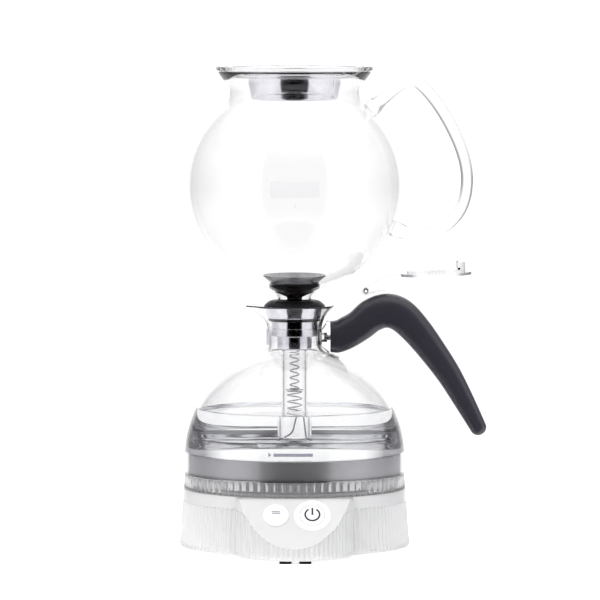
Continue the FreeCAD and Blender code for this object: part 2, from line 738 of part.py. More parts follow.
def make_globe_handle():
    bar = tube_along(rounded_wire([(x, 0, z) for x, z in GLOBE_HANDLE]), GLOBE_HANDLE_R)
    ball = Part.makeSphere(GLOBE_R, Vector(0, 0, GLOBE_CENTRE_Z))
    pads = [Part.makeSphere(6.6, Vector(61.5, 0, 331.5)), Part.makeSphere(6.4, Vector(76.0, 0, 238.6))]
    bar = bar.fuse(pads)
    trimmed = bar.cut(ball).cut(Part.makeCylinder(MOUTH_R, 60, Vector(0, 0, 310)))
    mouth_r = MOUTH_R + MOUTH_ARC
    rise, direction = tangent_circle(GLOBE_CENTRE_Z, GLOBE_R, mouth_r, MOUTH_ARC)
    near = polar((0, GLOBE_CENTRE_Z), GLOBE_R, direction)
    neck = lathe([(0, near[1]), near, (51.5, 336.0), (MOUTH_R + 0.2, 341.0), (0, 341.0)])
    trimmed = trimmed.cut(neck)
    return max(trimmed.Solids, key=lambda s: s.Volume)


def make_stem_tube():
    inner = STEM_R - STEM_WALL
    return lathe(
        [
            (inner, STEM_BOTTOM_Z),
            (STEM_R, STEM_BOTTOM_Z),
            (STEM_R, STEM_TOP_Z - 2.0),
            (THROAT_R - 0.2, STEM_TOP_Z - 2.0),
            (THROAT_R - 0.2, STEM_TOP_Z),
            (inner, STEM_TOP_Z),
        ]
    )


def make_stopper_shell():
    """The bright stepped skirt round the stopper."""
    t = COLLAR_SHELL
    outer = [STEPS[0], STEPS[1], (STEPS[2][0], STEPS[1][1]), *STEPS[2:], (STEM_R + 0.3, 148.9)]
    inner = [
        (STEM_R + 0.3, 148.9 + t),
        (STEPS[5][0] - t, 148.9 + t),
        (STEPS[5][0] - t, 159.4 + t),
        (STEPS[3][0] - t, 159.4 + t),
        (STEPS[3][0] - t, 172.9 + t),
        (19.6 - t, 172.9 + t),
        (STEPS[0][0] - t, 181.2),
    ]
    return lathe(outer + inner)


def make_stopper():
    """The black silicone stopper: a domed top on the skirt and a core that grips neck and stem."""
    t = COLLAR_SHELL + 0.05
    return lathe(
        [
            (THROAT_R, STOPPER_TOP_Z - 1.4),
            (THROAT_R + 1.1, STOPPER_TOP_Z),
            (18.4, STOPPER_TOP_Z),
            (20.4, 185.4),
            (22.9, 182.4),
            (22.9, 181.25),
            (STEPS[0][0] - t, 181.2),
            (19.6 - t, 172.9 + t),
            (STEPS[3][0] - t, 172.9 + t),
            (STEPS[3][0] - t, 159.4 + t),
            (STEPS[5][0] - t, 159.4 + t),
            (STEPS[5][0] - t, 148.9 + t),
            (STEM_R, 148.9 + t),
            (STEM_R, STEM_TOP_Z - 2.1),
            (THROAT_R, STEM_TOP_Z - 2.1),
        ]
    )


def make_neck_seal():
    """The lip seal in the skirt's groove, which meets the throat of the carafe."""
    return lathe([(17.5, 170.7), (19.0, 170.9), (19.3, 171.6), (19.0, 172.8), (17.5, 172.8)])


def make_filter_body():
    """The dark strainer plate on its core, which reaches down through the throat, with a ring of holes."""
    body = lathe(
        [
            (0, 183.6),
            (2.4, 183.6),
            (5.7, 185.6),
            (5.7, 189.6),
            (12.8, 193.2),
            (12.8, 198.6),
            (18.4, 198.6),
            (18.4, 199.8),
            (7.0, 200.4),
            (5.6, 203.2),
            (0, 204.0),
        ]
    )
    for hole in around(Part.makeCylinder(0.9, 16, Vector(10.2, 0, 188)), 16):
        body = body.cut(hole)
    return body


def make_filter_dish():
    """The clear flared rim that sits on the strainer plate."""
    return lathe([(16.4, 199.95), (18.6, 199.95), (23.6, 204.2), (23.6, 205.2), (22.6, 205.4), (16.4, 201.2)])


def make_filter_gasket():
    """The black seat ring under the strainer's rim."""
    return lathe([(12.85, 193.2), (15.2, 194.7), (18.9, 196.3), (19.4, 197.4), (18.4, 198.5), (12.85, 198.5)])


def make_filter_mesh():
    """A fine steel screen laid over the holes."""
    return ring(7.4, 16.2, 200.5, 200.9)


def make_spring_washer():
    """The washer that joins the two springs."""
    return ring(1.4, 6.6, WASHER_Z - 0.4, WASHER_Z + 0.4)


def make_lower_spring():
    return coil(LOWER_SPRING_R, HOOK_WIRE_R, LOWER_SPRING_Z, LOWER_SPRING_TURNS, LOWER_SPRING_PITCH)


def make_stem_hook():
    """The bent wire that hangs from the lower spring and hooks under the stem's end."""
    corners = [(9.2, 0, 77.4), (6.6, 0, 78.8), (4.4, 0, 97.5), (2.4, 0, 97.5), (-1.2, 0, 82.0), (-6.2, 0, 79.4)]
    low = tube_along(rounded_wire(corners + [(-9.2, 0, 77.4)]), HOOK_WIRE_R)
    eye = Part.makeTorus(LOWER_SPRING_R, HOOK_WIRE_R, Vector(0, 0, HOOK_EYE_Z))
    link = rod(HOOK_WIRE_R, (5.2, 0, HOOK_EYE_Z), (3.4, 0, 97.4))
    return low.fuse([link, eye]).removeSplitter()


def make_filter_spring():
    return coil(SPRING_R, SPRING_WIRE_R, WASHER_Z + 1.0, SPRING_TURNS, SPRING_PITCH)


# ---- globe lid ----------------------------------------------------------------------------------


def make_globe_lid_ring():
    """The clear lid: a thin brim over the rim, a step that fits the mouth, and a hole for the cup."""
    return lathe(
        [
            (37.2, 353.6),
            (51.0, 353.6),
            (51.4, 356.4),
            (53.6, 358.9),
            (58.9, 358.9),
            (58.9, LID_TOP_Z - 0.6),
            (58.3, LID_TOP_Z),
            (54.0, LID_TOP_Z),
            (49.0, 358.2),
            (37.2, 358.2),
        ]
    )


def make_globe_lid_cup():
    """The pressed steel cup that hangs in the lid."""
    t = 0.7
    return lathe(
        [
            (0, 335.9),
            (30.0, 335.9),
            (32.2, 336.9),
            (32.9, 338.8),
            (36.6, 358.3),
            (39.8, 358.3),
            (39.8, 358.3 + t),
            (36.6 - t, 358.3 + t),
            (32.9 - t, 338.9),
            (31.7, 337.3),
            (29.8, 335.9 + t),
            (0, 335.9 + t),
        ]
    )


def make_globe_lid_gasket():
    """A clear silicone ring round the lid's step."""
    return lathe([(51.1, 354.0), (51.9, 354.3), (51.9, 354.9), (51.3, 355.4)])


# ---- build --------------------------------------------------------------------------------------


def build_base():
    save("base_housing", make_base_housing())
    save("base_liner", make_base_liner())
    save("bottom_plate", make_bottom_plate())
    save("foot_ring", ring(60.0, 68.0, 0, HOUSING_BOTTOM_Z))
    save("front_feet", *make_front_feet())
    save("bottom_screws", *make_bottom_screws())
    save("connector_post", make_connector_post())
    save("connector_contacts", *make_connector_contacts())
    save("cable_gland", make_cable_gland())
    save("mains_terminal", make_mains_terminal())
    save("control_board", make_control_board())
    save("board_switches", *make_board_switches())
    save("board_lights", *make_board_lights())
    save("board_posts", *make_board_posts())
    save("power_ring", make_power_ring())
    save("power_button", panel(make_cap(POWER_R), POWER_X))
    save("warm_button", panel(make_cap(WARM_R), WARM_X))
    for name, lead in make_leads().items():
        save(name, lead)
    save("lead_earth", make_earth_lead())


def build_carafe():
    grip = make_handle_grip()
    save("carafe_glass", make_carafe_glass())
    save("glass_seal", ring(80.2, 82.6, COLLAR_TOP_Z, COLLAR_TOP_Z + 1.0))
    save("carafe_collar", make_collar())
    save("heater_dish", make_heater_dish())
    save("heat_spreader", ring(0, 58.0, 64.2, 67.1))
    save("heating_element", make_heating_element())
    save("thermostat", make_thermostat())
    save("carafe_bottom_cover", make_bottom_cover())
    save("cover_screws", *make_cover_screws())
    save("cover_pillars", *make_cover_pillars())
    save("neck_band", make_neck_band(grip))
    save("handle_screw", make_handle_screw())
    save("handle_grip", grip)
    save("lid_hinge_block", make_hinge_block(grip))
    save("lid_hinge_pin", make_hinge_pin())
    save("carafe_lid", make_carafe_lid())


def build_globe():
    save("globe_glass", make_globe_glass())
    save("globe_handle", make_globe_handle())
    save("stem_tube", make_stem_tube())
    save("stopper_shell", make_stopper_shell())
    save("stopper", make_stopper())
    save("neck_seal", make_neck_seal())
    save("filter_body", make_filter_body())
    save("filter_dish", make_filter_dish())
    save("filter_gasket", make_filter_gasket())
    save("filter_mesh", make_filter_mesh())
    save("filter_spring", make_filter_spring())
    save("spring_washer", make_spring_washer())
    save("lower_spring", make_lower_spring())
    save("stem_hook", make_stem_hook())
    save("globe_lid_ring", make_globe_lid_ring())
    save("globe_lid_cup", make_globe_lid_cup())
    save("globe_lid_gasket", make_globe_lid_gasket())


os.makedirs("parts", exist_ok=True)
build_base()
build_carafe()
build_globe()
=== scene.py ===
import bmesh
import bpy
import numpy as np
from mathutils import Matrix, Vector


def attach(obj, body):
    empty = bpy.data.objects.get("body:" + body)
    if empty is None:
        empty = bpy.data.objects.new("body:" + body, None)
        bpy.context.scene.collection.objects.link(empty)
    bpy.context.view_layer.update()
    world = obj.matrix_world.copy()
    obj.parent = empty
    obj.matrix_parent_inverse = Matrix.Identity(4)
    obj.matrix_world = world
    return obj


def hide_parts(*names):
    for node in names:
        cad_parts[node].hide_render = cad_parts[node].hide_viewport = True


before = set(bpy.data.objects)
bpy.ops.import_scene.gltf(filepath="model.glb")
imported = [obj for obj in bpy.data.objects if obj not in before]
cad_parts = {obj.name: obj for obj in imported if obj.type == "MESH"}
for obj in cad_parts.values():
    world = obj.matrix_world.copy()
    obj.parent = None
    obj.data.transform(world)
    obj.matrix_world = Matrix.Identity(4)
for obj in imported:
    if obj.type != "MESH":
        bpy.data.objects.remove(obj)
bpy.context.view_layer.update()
print("frame loaded:", len(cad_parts), "nodes")

mm = 0.001  # every size below is in millimetres and is turned into metres when its mesh is made


# shapes

def arcRun(centre, radius, start, end, count=16):
    # points round a centre: centre + radius * (cos a, sin a), for angles a from start to end in degrees
    a = np.radians(np.linspace(start, end, count))
    return np.stack([centre[0] + radius * np.cos(a), centre[1] + radius * np.sin(a)], 1)


def softOutline(corners, radius, count=6, closed=True):
    # each corner becomes a curve (1-t)^2 a + 2t(1-t) corner + t^2 b between points a and b on its two sides
    corners = np.asarray(corners, float)
    before = np.roll(corners, 1, 0) - corners
    after = np.roll(corners, -1, 0) - corners
    lengthBefore = np.linalg.norm(before, axis=1, keepdims=True)
    lengthAfter = np.linalg.norm(after, axis=1, keepdims=True)
    cut = np.broadcast_to(np.asarray(radius, float), (len(corners),))[:, None].copy()
    if not closed:
        cut[[0, -1]] = 0.0
    a = corners + before / lengthBefore * np.minimum(cut, 0.5 * lengthBefore)
    b = corners + after / lengthAfter * np.minimum(cut, 0.5 * lengthAfter)
    t = np.linspace(0, 1, count)[None, :, None]
    curve = (1 - t) ** 2 * a[:, None] + 2 * t * (1 - t) * corners[:, None] + t ** 2 * b[:, None]
    points = curve.reshape(-1, corners.shape[1])
    gap = np.linalg.norm(np.diff(points, axis=0), axis=1)
    return points[np.concatenate([[True], gap > 1e-6])]


def turned(outline, steps=160):
    # a lathe: outline point (r, z) goes to (r cos u, r sin u, z) for u once round
    u = np.linspace(0, 2 * np.pi, steps, endpoint=False)
    r, z = outline[:, 0:1], outline[:, 1:2]
    return np.stack([r * np.cos(u), r * np.sin(u), z + 0 * u], 2)


def bar(path, radius, reference, sides=16):
    # a round bar: path + radius * (cos v * side + sin v * up), side and up standing square to the path
    along = np.gradient(path, axis=0)
    along /= np.linalg.norm(along, axis=1, keepdims=True)
    side = np.broadcast_to(np.asarray(reference, float), path.shape)
    side = side - (side * along).sum(1, keepdims=True) * along
    side /= np.linalg.norm(side, axis=1, keepdims=True)
    up = np.cross(along, side)
    v = np.linspace(0, 2 * np.pi, sides, endpoint=False)
    ring = np.cos(v)[None, :, None] * side[:, None] + np.sin(v)[None, :, None] * up[:, None]
    return path[:, None] + np.broadcast_to(radius, (len(path),))[:, None, None] * ring


def domed(path, radius, count=6):
    # adds a half ball to each end: the path runs on by radius * sin a as the radius falls to radius * cos a
    radius = np.broadcast_to(np.asarray(radius, float), (len(path),))
    a = np.linspace(0, np.pi / 2, count + 1)[1:]
    first = path[0] - path[1]
    last = path[-1] - path[-2]
    first = first / np.linalg.norm(first)
    last = last / np.linalg.norm(last)
    head = path[0] + radius[0] * np.sin(a)[::-1, None] * first
    tail = path[-1] + radius[-1] * np.sin(a)[:, None] * last
    sizes = np.concatenate([radius[0] * np.cos(a)[::-1], radius, radius[-1] * np.cos(a)])
    return np.concatenate([head, path, tail]), sizes


def smoothRows(rows, steps):
    # a smooth curve through the rows: b + h(t), the cubic whose slopes at b and c are half of c - a and d - b
    rows = np.asarray(rows, float)
    padded = np.concatenate([rows[:1], rows, rows[-1:]])
    a, b, c, d = (padded[k:len(padded) - 3 + k, None] for k in range(4))
    t = np.linspace(0, 1, steps, endpoint=False)[None, :, None]
    bend = 2 * b - 2 * c + (c - a) / 2 + (d - b) / 2
    sag = 3 * c - 3 * b - (c - a) - (d - b) / 2
    curve = b + (c - a) / 2 * t + sag * t ** 2 + bend * t ** 3
    return np.concatenate([curve.reshape(-1, rows.shape[1]), rows[-1:]])


def quads(rows, columns, loopRows, loopColumns, start):
    # quads that join point (i, j) to its neighbours (i, j+1), (i+1, j+1) and (i+1, j)
    i, j = np.meshgrid(np.arange(rows if loopRows else rows - 1),
                       np.arange(columns if loopColumns else columns - 1), indexing="ij")
    i, j = i.ravel(), j.ravel()
    iNext, jNext = (i + 1) % rows, (j + 1) % columns
    return start + np.stack([i * columns + j, i * columns + jNext,
                             iNext * columns + jNext, iNext * columns + j], 1)


def piece(name, grids, finish, body, stands=(), loopRows=True, loopColumns=True, crease=35):
    # one mesh from its grids of points, in metres; doubles are merged so that poles and seams close, and
    # edges sharper than crease degrees are kept sharp
    points, faces, start = [], [], 0
    for grid in grids:
        rows, columns = grid.shape[:2]
        points.append(grid.reshape(-1, 3) * mm)
        faces.append(quads(rows, columns, loopRows, loopColumns, start))
        start += rows * columns
    mesh = bpy.data.meshes.new(name)
    mesh.from_pydata(np.concatenate(points), [], np.concatenate(faces))
    work = bmesh.new()
    work.from_mesh(mesh)
    bmesh.ops.remove_doubles(work, verts=work.verts, dist=2e-7)
    bmesh.ops.dissolve_degenerate(work, edges=work.edges, dist=1e-8)
    bmesh.ops.recalc_face_normals(work, faces=work.faces)
    work.to_mesh(mesh)
    work.free()
    mesh.polygons.foreach_set("use_smooth", np.ones(len(mesh.polygons), bool))
    mesh.set_sharp_from_angle(angle=np.radians(crease))
    made = bpy.data.objects.new(name, mesh)
    bpy.context.scene.collection.objects.link(made)
    mesh.materials.append(finish)
    if stands:
        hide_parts(*stands)
    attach(made, body)
    return made


# finishes

def shader(name, **values):
    # a material with one Principled shader, its sockets set by name
    material = bpy.data.materials.new(name)
    material.use_nodes = True
    tree = material.node_tree
    surface = tree.nodes["Principled BSDF"]
    for socket, value in values.items():
        surface.inputs[socket.replace("_", " ")].default_value = value
    return material, tree, surface


def grain(tree, surface, scale, low, high, bump=0.0, distance=0.0001, stretch=(1, 1, 1), detail=3.0):
    # noise in the object's own space: it moves the roughness between low and high, and can raise a bump
    place = tree.nodes.new("ShaderNodeTexCoord")
    mapping = tree.nodes.new("ShaderNodeMapping")
    mapping.inputs["Scale"].default_value = stretch
    noise = tree.nodes.new("ShaderNodeTexNoise")
    noise.inputs["Scale"].default_value = scale
    noise.inputs["Detail"].default_value = detail
    spread = tree.nodes.new("ShaderNodeMapRange")
    spread.inputs["To Min"].default_value = low
    spread.inputs["To Max"].default_value = high
    tree.links.new(place.outputs["Object"], mapping.inputs["Vector"])
    tree.links.new(mapping.outputs["Vector"], noise.inputs["Vector"])
    tree.links.new(noise.outputs["Fac"], spread.inputs["Value"])
    tree.links.new(spread.outputs["Result"], surface.inputs["Roughness"])
    if bump:
        raised = tree.nodes.new("ShaderNodeBump")
        raised.inputs["Strength"].default_value = bump
        raised.inputs["Distance"].default_value = distance
        tree.links.new(noise.outputs["Fac"], raised.inputs["Height"])
        tree.links.new(raised.outputs["Normal"], surface.inputs["Normal"])
    return noise


def mottled(tree, surface, source, dark, light):
    # the base colour moves between two close shades with the grain
    ramp = tree.nodes.new("ShaderNodeValToRGB")
    ramp.color_ramp.elements[0].position = 0.3
    ramp.color_ramp.elements[1].position = 0.7
    ramp.color_ramp.elements[0].color = (*dark, 1)
    ramp.color_ramp.elements[1].color = (*light, 1)
    tree.links.new(source.outputs["Fac"], ramp.inputs["Fac"])
    tree.links.new(ramp.outputs["Color"], surface.inputs["Base Color"])


def blownGlass():
    material, tree, surface = shader("blownGlass", Base_Color=(0.99, 0.99, 0.992, 1), IOR=1.47)
    surface.inputs["Transmission Weight"].default_value = 1.0
    grain(tree, surface, 18, 0.0, 0.008, bump=0.02, distance=0.0004)
    return material


def clearPlastic(name, cloud, low, high, bump=0.03):
    # moulded clear plastic, slightly milky: cloud is the share of light that it scatters
    material, tree, surface = shader(name, IOR=1.5)
    surface.inputs["Transmission Weight"].default_value = 1.0 - cloud
    noise = grain(tree, surface, 120, low, high, bump=bump, distance=0.0002)
    mottled(tree, surface, noise, (0.965, 0.967, 0.972), (0.99, 0.991, 0.995))
    return material


def smokedPlastic():
    material, tree, surface = shader("smokedPlastic", IOR=1.5)
    surface.inputs["Transmission Weight"].default_value = 0.8
    noise = grain(tree, surface, 150, 0.06, 0.14, bump=0.03, distance=0.0002)
    mottled(tree, surface, noise, (0.30, 0.30, 0.31), (0.38, 0.38, 0.39))
    return material


def waterFinish():
    material, tree, surface = shader("water", Base_Color=(0.985, 0.99, 0.995, 1), IOR=1.333)
    surface.inputs["Transmission Weight"].default_value = 1.0
    grain(tree, surface, 30, 0.0, 0.004, bump=0.03, distance=0.0003)
    return material


def mirrorSteel():
    material, tree, surface = shader("mirrorSteel", Metallic=1.0)
    noise = grain(tree, surface, 260, 0.03, 0.09, bump=0.02, distance=0.00005)
    mottled(tree, surface, noise, (0.80, 0.79, 0.84), (0.86, 0.85, 0.89))
    return material


def spunSteel(name, low, high, metallic=1.0):
    # steel finished on a lathe: fine rings about the axis raise the bump, and noise moves the roughness
    material, tree, surface = shader(name, Metallic=metallic)
    noise = grain(tree, surface, 90, low, high)
    mottled(tree, surface, noise, (0.86, 0.86, 0.89), (0.92, 0.92, 0.94))
    place = tree.nodes.new("ShaderNodeTexCoord")
    rings = tree.nodes.new("ShaderNodeTexWave")
    rings.wave_type = "RINGS"
    rings.rings_direction = "Z"
    rings.inputs["Scale"].default_value = 380
    rings.inputs["Distortion"].default_value = 1.5
    raised = tree.nodes.new("ShaderNodeBump")
    raised.inputs["Strength"].default_value = 0.02
    raised.inputs["Distance"].default_value = 0.00003
    tree.links.new(place.outputs["Object"], rings.inputs["Vector"])
    tree.links.new(rings.outputs["Fac"], raised.inputs["Height"])
    tree.links.new(raised.outputs["Normal"], surface.inputs["Normal"])
    return material


def wireSteel():
    material, tree, surface = shader("wireSteel", Metallic=1.0)
    noise = grain(tree, surface, 700, 0.15, 0.3, bump=0.1, distance=0.00003)
    mottled(tree, surface, noise, (0.42, 0.42, 0.44), (0.58, 0.58, 0.6))
    return material


def moulded(name, dark, light, low, high, scale=500, bump=0.08, gloss=0.5):
    # solid moulded plastic or rubber: two close shades, a fine grain and uneven gloss
    material, tree, surface = shader(name, Specular_IOR_Level=gloss)
    noise = grain(tree, surface, scale, low, high, bump=bump, distance=0.00008)
    mottled(tree, surface, noise, dark, light)
    return material


def castMetal(name, dark, light, low, high):
    material, tree, surface = shader(name, Metallic=1.0)
    noise = grain(tree, surface, 300, low, high, bump=0.1, distance=0.00006)
    mottled(tree, surface, noise, dark, light)
    return material


def frostedPrint():
    # a sand-blasted patch: half see-through and very rough
    material, tree, surface = shader("frostedPrint", IOR=1.12)
    surface.inputs["Transmission Weight"].default_value = 0.86
    noise = grain(tree, surface, 900, 0.35, 0.5, bump=0.1, distance=0.00003)
    mottled(tree, surface, noise, (0.95, 0.95, 0.96), (0.985, 0.985, 0.99))
    return material


finishes = {
    "glass": blownGlass(),
    "housing": clearPlastic("housingPlastic", 0.50, 0.05, 0.09, bump=0.0),
    "collar": clearPlastic("collarPlastic", 0.12, 0.02, 0.06),
    "clear": clearPlastic("clearPlastic", 0.0, 0.01, 0.03),
    "smoked": smokedPlastic(),
    "water": waterFinish(),
    "mirror": mirrorSteel(),
    "plate": spunSteel("polishedPlate", 0.08, 0.14),
    "skirt": spunSteel("satinSkirt", 0.40, 0.48, metallic=0.6),
    "wire": wireSteel(),
    "aluminium": castMetal("castAluminium", (0.60, 0.61, 0.63), (0.72, 0.73, 0.75), 0.35, 0.5),
    "brass": castMetal("turnedBrass", (0.70, 0.50, 0.20), (0.80, 0.62, 0.30), 0.2, 0.35),
    "grip": moulded("softGrip", (0.020, 0.0185, 0.026), (0.029, 0.027, 0.038), 0.27, 0.36, 1400,
                    bump=0.10, gloss=0.9),
    "rubber": moulded("blackSilicone", (0.004, 0.004, 0.006), (0.009, 0.008, 0.011), 0.30, 0.45, 800,
                      gloss=0.2),
    "dark": moulded("darkFilterPlastic", (0.018, 0.006, 0.004), (0.045, 0.015, 0.010), 0.18, 0.32, 300,
                    gloss=0.2),
    "black": moulded("blackPlastic", (0.02, 0.02, 0.022), (0.03, 0.03, 0.033), 0.35, 0.5),
    "white": moulded("whitePlastic", (0.86, 0.86, 0.86), (0.92, 0.92, 0.915), 0.32, 0.46, 350),
    "grey": moulded("greyPlastic", (0.66, 0.67, 0.69), (0.74, 0.75, 0.77), 0.38, 0.52),
    "mark": moulded("darkPrint", (0.025, 0.025, 0.03), (0.045, 0.045, 0.05), 0.4, 0.55, gloss=0.2),
    "softMark": moulded("greyPrint", (0.20, 0.21, 0.25), (0.26, 0.27, 0.31), 0.4, 0.55, gloss=0.2),
    "cap": moulded("capPlastic", (0.74, 0.745, 0.755), (0.80, 0.805, 0.81), 0.22, 0.34, 350),
    "frost": frostedPrint(),
    "board": moulded("boardGreen", (0.62, 0.70, 0.60), (0.72, 0.78, 0.70), 0.25, 0.4, 200),
    "amber": moulded("amberLens", (0.85, 0.45, 0.10), (0.95, 0.60, 0.18), 0.1, 0.2, 200),
    "brown": moulded("brownSleeve", (0.22, 0.10, 0.05), (0.30, 0.15, 0.08), 0.35, 0.5),
    "blue": moulded("blueSleeve", (0.10, 0.20, 0.50), (0.15, 0.28, 0.60), 0.35, 0.5),
    "green": moulded("greenSleeve", (0.35, 0.48, 0.10), (0.48, 0.60, 0.16), 0.35, 0.5),
}
print("finishes made:", len(finishes))


# base

baseSize = {
    "bottomZ": 2.2, "topZ": 45.0, "bottomR": 86.6, "topR": 83.6, "wall": 2.4, "bevel": 0.8,
    "consoleY": -75.0, "consoleR": 43.5, "panelSlope": 50.0, "panelFootZ": 10.6,
    "postHole": 14.2, "ribTopZ": 35.6, "ribGap": 1.5, "ribDepth": 1.2, "ribs": 120, "consoleRib": 3.9,
}


def footprint(u, z, size):
    # how far the housing reaches in direction u at height z: the larger of the drum's radius and the
    # console's reach, which is the far side of its circle or, where that is nearer, the sloping panel;
    # each rib is a wave 0.5 + 0.5 cos(2 pi phase) cut into it
    climb = (z - size["bottomZ"]) / (size["topZ"] - size["bottomZ"])
    drum = size["bottomR"] + (size["topR"] - size["bottomR"]) * climb
    beside = size["consoleY"] * np.sin(u)
    under = size["consoleR"] ** 2 - (size["consoleY"] * np.cos(u)) ** 2
    circle = beside + np.sqrt(np.maximum(under, 0))
    setBack = (z - size["panelFootZ"]) / np.tan(np.radians(size["panelSlope"]))
    reachY = size["consoleR"] - size["consoleY"] - setBack
    front = np.maximum(-np.sin(u), 1e-6)
    panel = np.where(z > size["panelFootZ"], reachY / front, 1e6)
    onCircle = (under > 0) & (np.sin(u) < 0) & (circle < panel)
    console = np.where((under > 0) & (np.sin(u) < 0), np.minimum(circle, panel), 0)
    reach = np.maximum(drum, console)
    around = np.arctan2(reach * np.cos(u), -(reach * np.sin(u) - size["consoleY"]))
    phase = np.where(drum >= console, u * size["ribs"] / (2 * np.pi),
                     size["consoleR"] * around / size["consoleRib"])
    ribbed = (drum >= console) | onCircle
    ribbed = ribbed * (z < size["ribTopZ"]) * (z > size["bottomZ"] + size["ribGap"])
    return reach - size["ribDepth"] * ribbed * (0.5 + 0.5 * np.cos(2 * np.pi * phase))


def makeBaseShell(size):
    # the housing's wall, deck and inside as one closed outline in each direction u round the axis
    u = np.linspace(0, 2 * np.pi, 1080, endpoint=False)[None]
    foot = [size["bottomZ"], size["bottomZ"] + 0.4]
    low = np.linspace(size["bottomZ"] + 1.4, size["panelFootZ"], 5)
    high = np.linspace(size["panelFootZ"] + 0.7, size["topZ"] - size["bevel"], 46)
    zOut = np.concatenate([foot, low, high])[:, None]
    outside = footprint(u, zOut, size)
    outside[0] -= 0.4
    a = np.radians(np.linspace(15, 90, 5))[:, None]
    top = footprint(u, size["topZ"] + 0 * a, size)
    bevel = top - size["bevel"] * (1 - np.cos(a))
    bevelZ = size["topZ"] - size["bevel"] * (1 - np.sin(a))
    inwards = np.linspace(0, 1, 4)[1:, None]
    deck = bevel[-1:] * (1 - inwards) + size["postHole"] * inwards
    under = np.array([[size["postHole"]]]) + 0 * u
    plain = dict(size, ribDepth=0.0)
    zIn = np.linspace(size["topZ"] - size["wall"], size["bottomZ"], 24)[:, None]
    inside = footprint(u, zIn, plain) - size["wall"] * 1.3
    r = np.concatenate([outside, bevel, deck, under, inside])
    z = np.concatenate([zOut, bevelZ, size["topZ"] + 0 * inwards, [[size["topZ"] - size["wall"]]], zIn])
    grid = np.stack([r * np.cos(u), r * np.sin(u), z + 0 * r], 2)
    return piece("baseShell", [grid], finishes["housing"], "base", ["base_housing"],
                 crease=28)


def onPanel(grid, x, size):
    # moves points from panel axes (X across, Y up the slope, Z out of it) to their place on the housing
    slope = np.radians(size["panelSlope"])
    centreY = size["buttonY"]
    centreZ = baseSize["panelFootZ"] + np.tan(slope) * (centreY - baseSize["consoleY"] + baseSize["consoleR"])
    along, out = grid[..., 1], grid[..., 2]
    return np.stack([grid[..., 0] + x, centreY + along * np.cos(slope) - out * np.sin(slope),
                     centreZ + along * np.sin(slope) + out * np.cos(slope)], -1)


buttonSize = {
    "panelSlope": 50.0, "buttonY": -98.9, "powerX": 13.2, "powerR": 9.0, "ringR": 13.6,
    "warmX": -13.6, "warmR": 9.6, "proud": 1.6, "markR": 5.3, "markWidth": 1.35,
}


def makeCap(name, x, radius, body, stands, size):
    # a push cap: a shallow dome whose height falls as the square of the radius, with a rounded shoulder
    dome = np.linspace(0, radius - 0.9, 10)
    crown = np.stack([dome, size["proud"] - 0.5 * (dome / radius) ** 2], 1)
    shoulder = arcRun((radius - 0.9, size["proud"] - 1.4), 0.9, 86, 0, 8)
    flange = radius + 1.2
    shank = np.array([[radius, -3.2], [flange, -3.2], [flange, -4.0], [2.4, -4.0], [2.4, -6.0], [0, -6.0]])
    outline = np.concatenate([crown, shoulder, shank])
    grid = onPanel(turned(outline, 96), x, size)
    return piece(name, [grid], finishes["cap"], body, [stands], loopRows=False)


def makePowerRing(size):
    corners = [(size["powerR"] + 0.35, 0.0), (size["powerR"] + 0.35, 0.7), (size["powerR"] + 1.2, 1.25),
               (size["ringR"] - 1.4, 0.95), (size["ringR"], 0.0)]
    grid = onPanel(turned(softOutline(corners, 0.5), 128), size["powerX"], size)
    return piece("powerRing", [grid], finishes["white"], "base", ["power_ring"])


def onCap(flat, radius, size):
    # lays flat points on a cap's dome, a hair above it
    lift = size["proud"] - 0.5 * (flat[..., 0] ** 2 + flat[..., 1] ** 2) / radius ** 2
    return np.stack([flat[..., 0], flat[..., 1], lift + flat[..., 2]], -1)


def stroke(path, width, height=0.12):
    # a raised flat line: across the path the section is a low rectangle
    along = np.gradient(path, axis=0)
    along /= np.linalg.norm(along, axis=1, keepdims=True)
    side = np.stack([-along[:, 1], along[:, 0]], 1) * width / 2
    low = np.full((len(path), 1), -0.05)
    high = np.full((len(path), 1), height)
    edges = [np.concatenate([path - side, low], 1), np.concatenate([path - side, high], 1),
             np.concatenate([path + side, high], 1), np.concatenate([path + side, low], 1)]
    grid = np.stack(edges, 1)
    ends = [np.repeat(grid[k].mean(0)[None, None], 4, 1) for k in (0, -1)]
    return np.concatenate([ends[0], grid, ends[1]])


def makeMarks(size):
    # the power mark, an open ring with a bar, and the keep-warm mark, two rows of small waves
    a = np.radians(np.linspace(90 + 32, 90 + 328, 60))
    ring = np.stack([np.cos(a), np.sin(a)], 1) * size["markR"]
    barLine = np.stack([np.zeros(12), np.linspace(-0.6, size["markR"] + 0.6, 12)], 1)
    lines = [stroke(ring, size["markWidth"]), stroke(barLine, size["markWidth"])]
    power = [onPanel(onCap(g, size["powerR"], size), size["powerX"], size) for g in lines]
    piece("powerMark", power, finishes["mark"], "power_key", loopRows=False)
    t = np.linspace(0, 1, 30)
    rows = [np.stack([6.4 * (t - 0.5), y + 0.42 * np.sin(t * 6 * np.pi)], 1) for y in (2.6, 0.9)]
    warm = [onPanel(onCap(stroke(row, 0.8), size["warmR"], size), size["warmX"], size) for row in rows]
    piece("warmMark", warm, finishes["softMark"], "warm_key", loopRows=False)


makeBaseShell(baseSize)
makePowerRing(buttonSize)
makeCap("powerCap", buttonSize["powerX"], buttonSize["powerR"], "power_key", "power_button", buttonSize)
makeCap("warmCap", buttonSize["warmX"], buttonSize["warmR"], "warm_key", "warm_button", buttonSize)
makeMarks(buttonSize)
print("base made")


# carafe

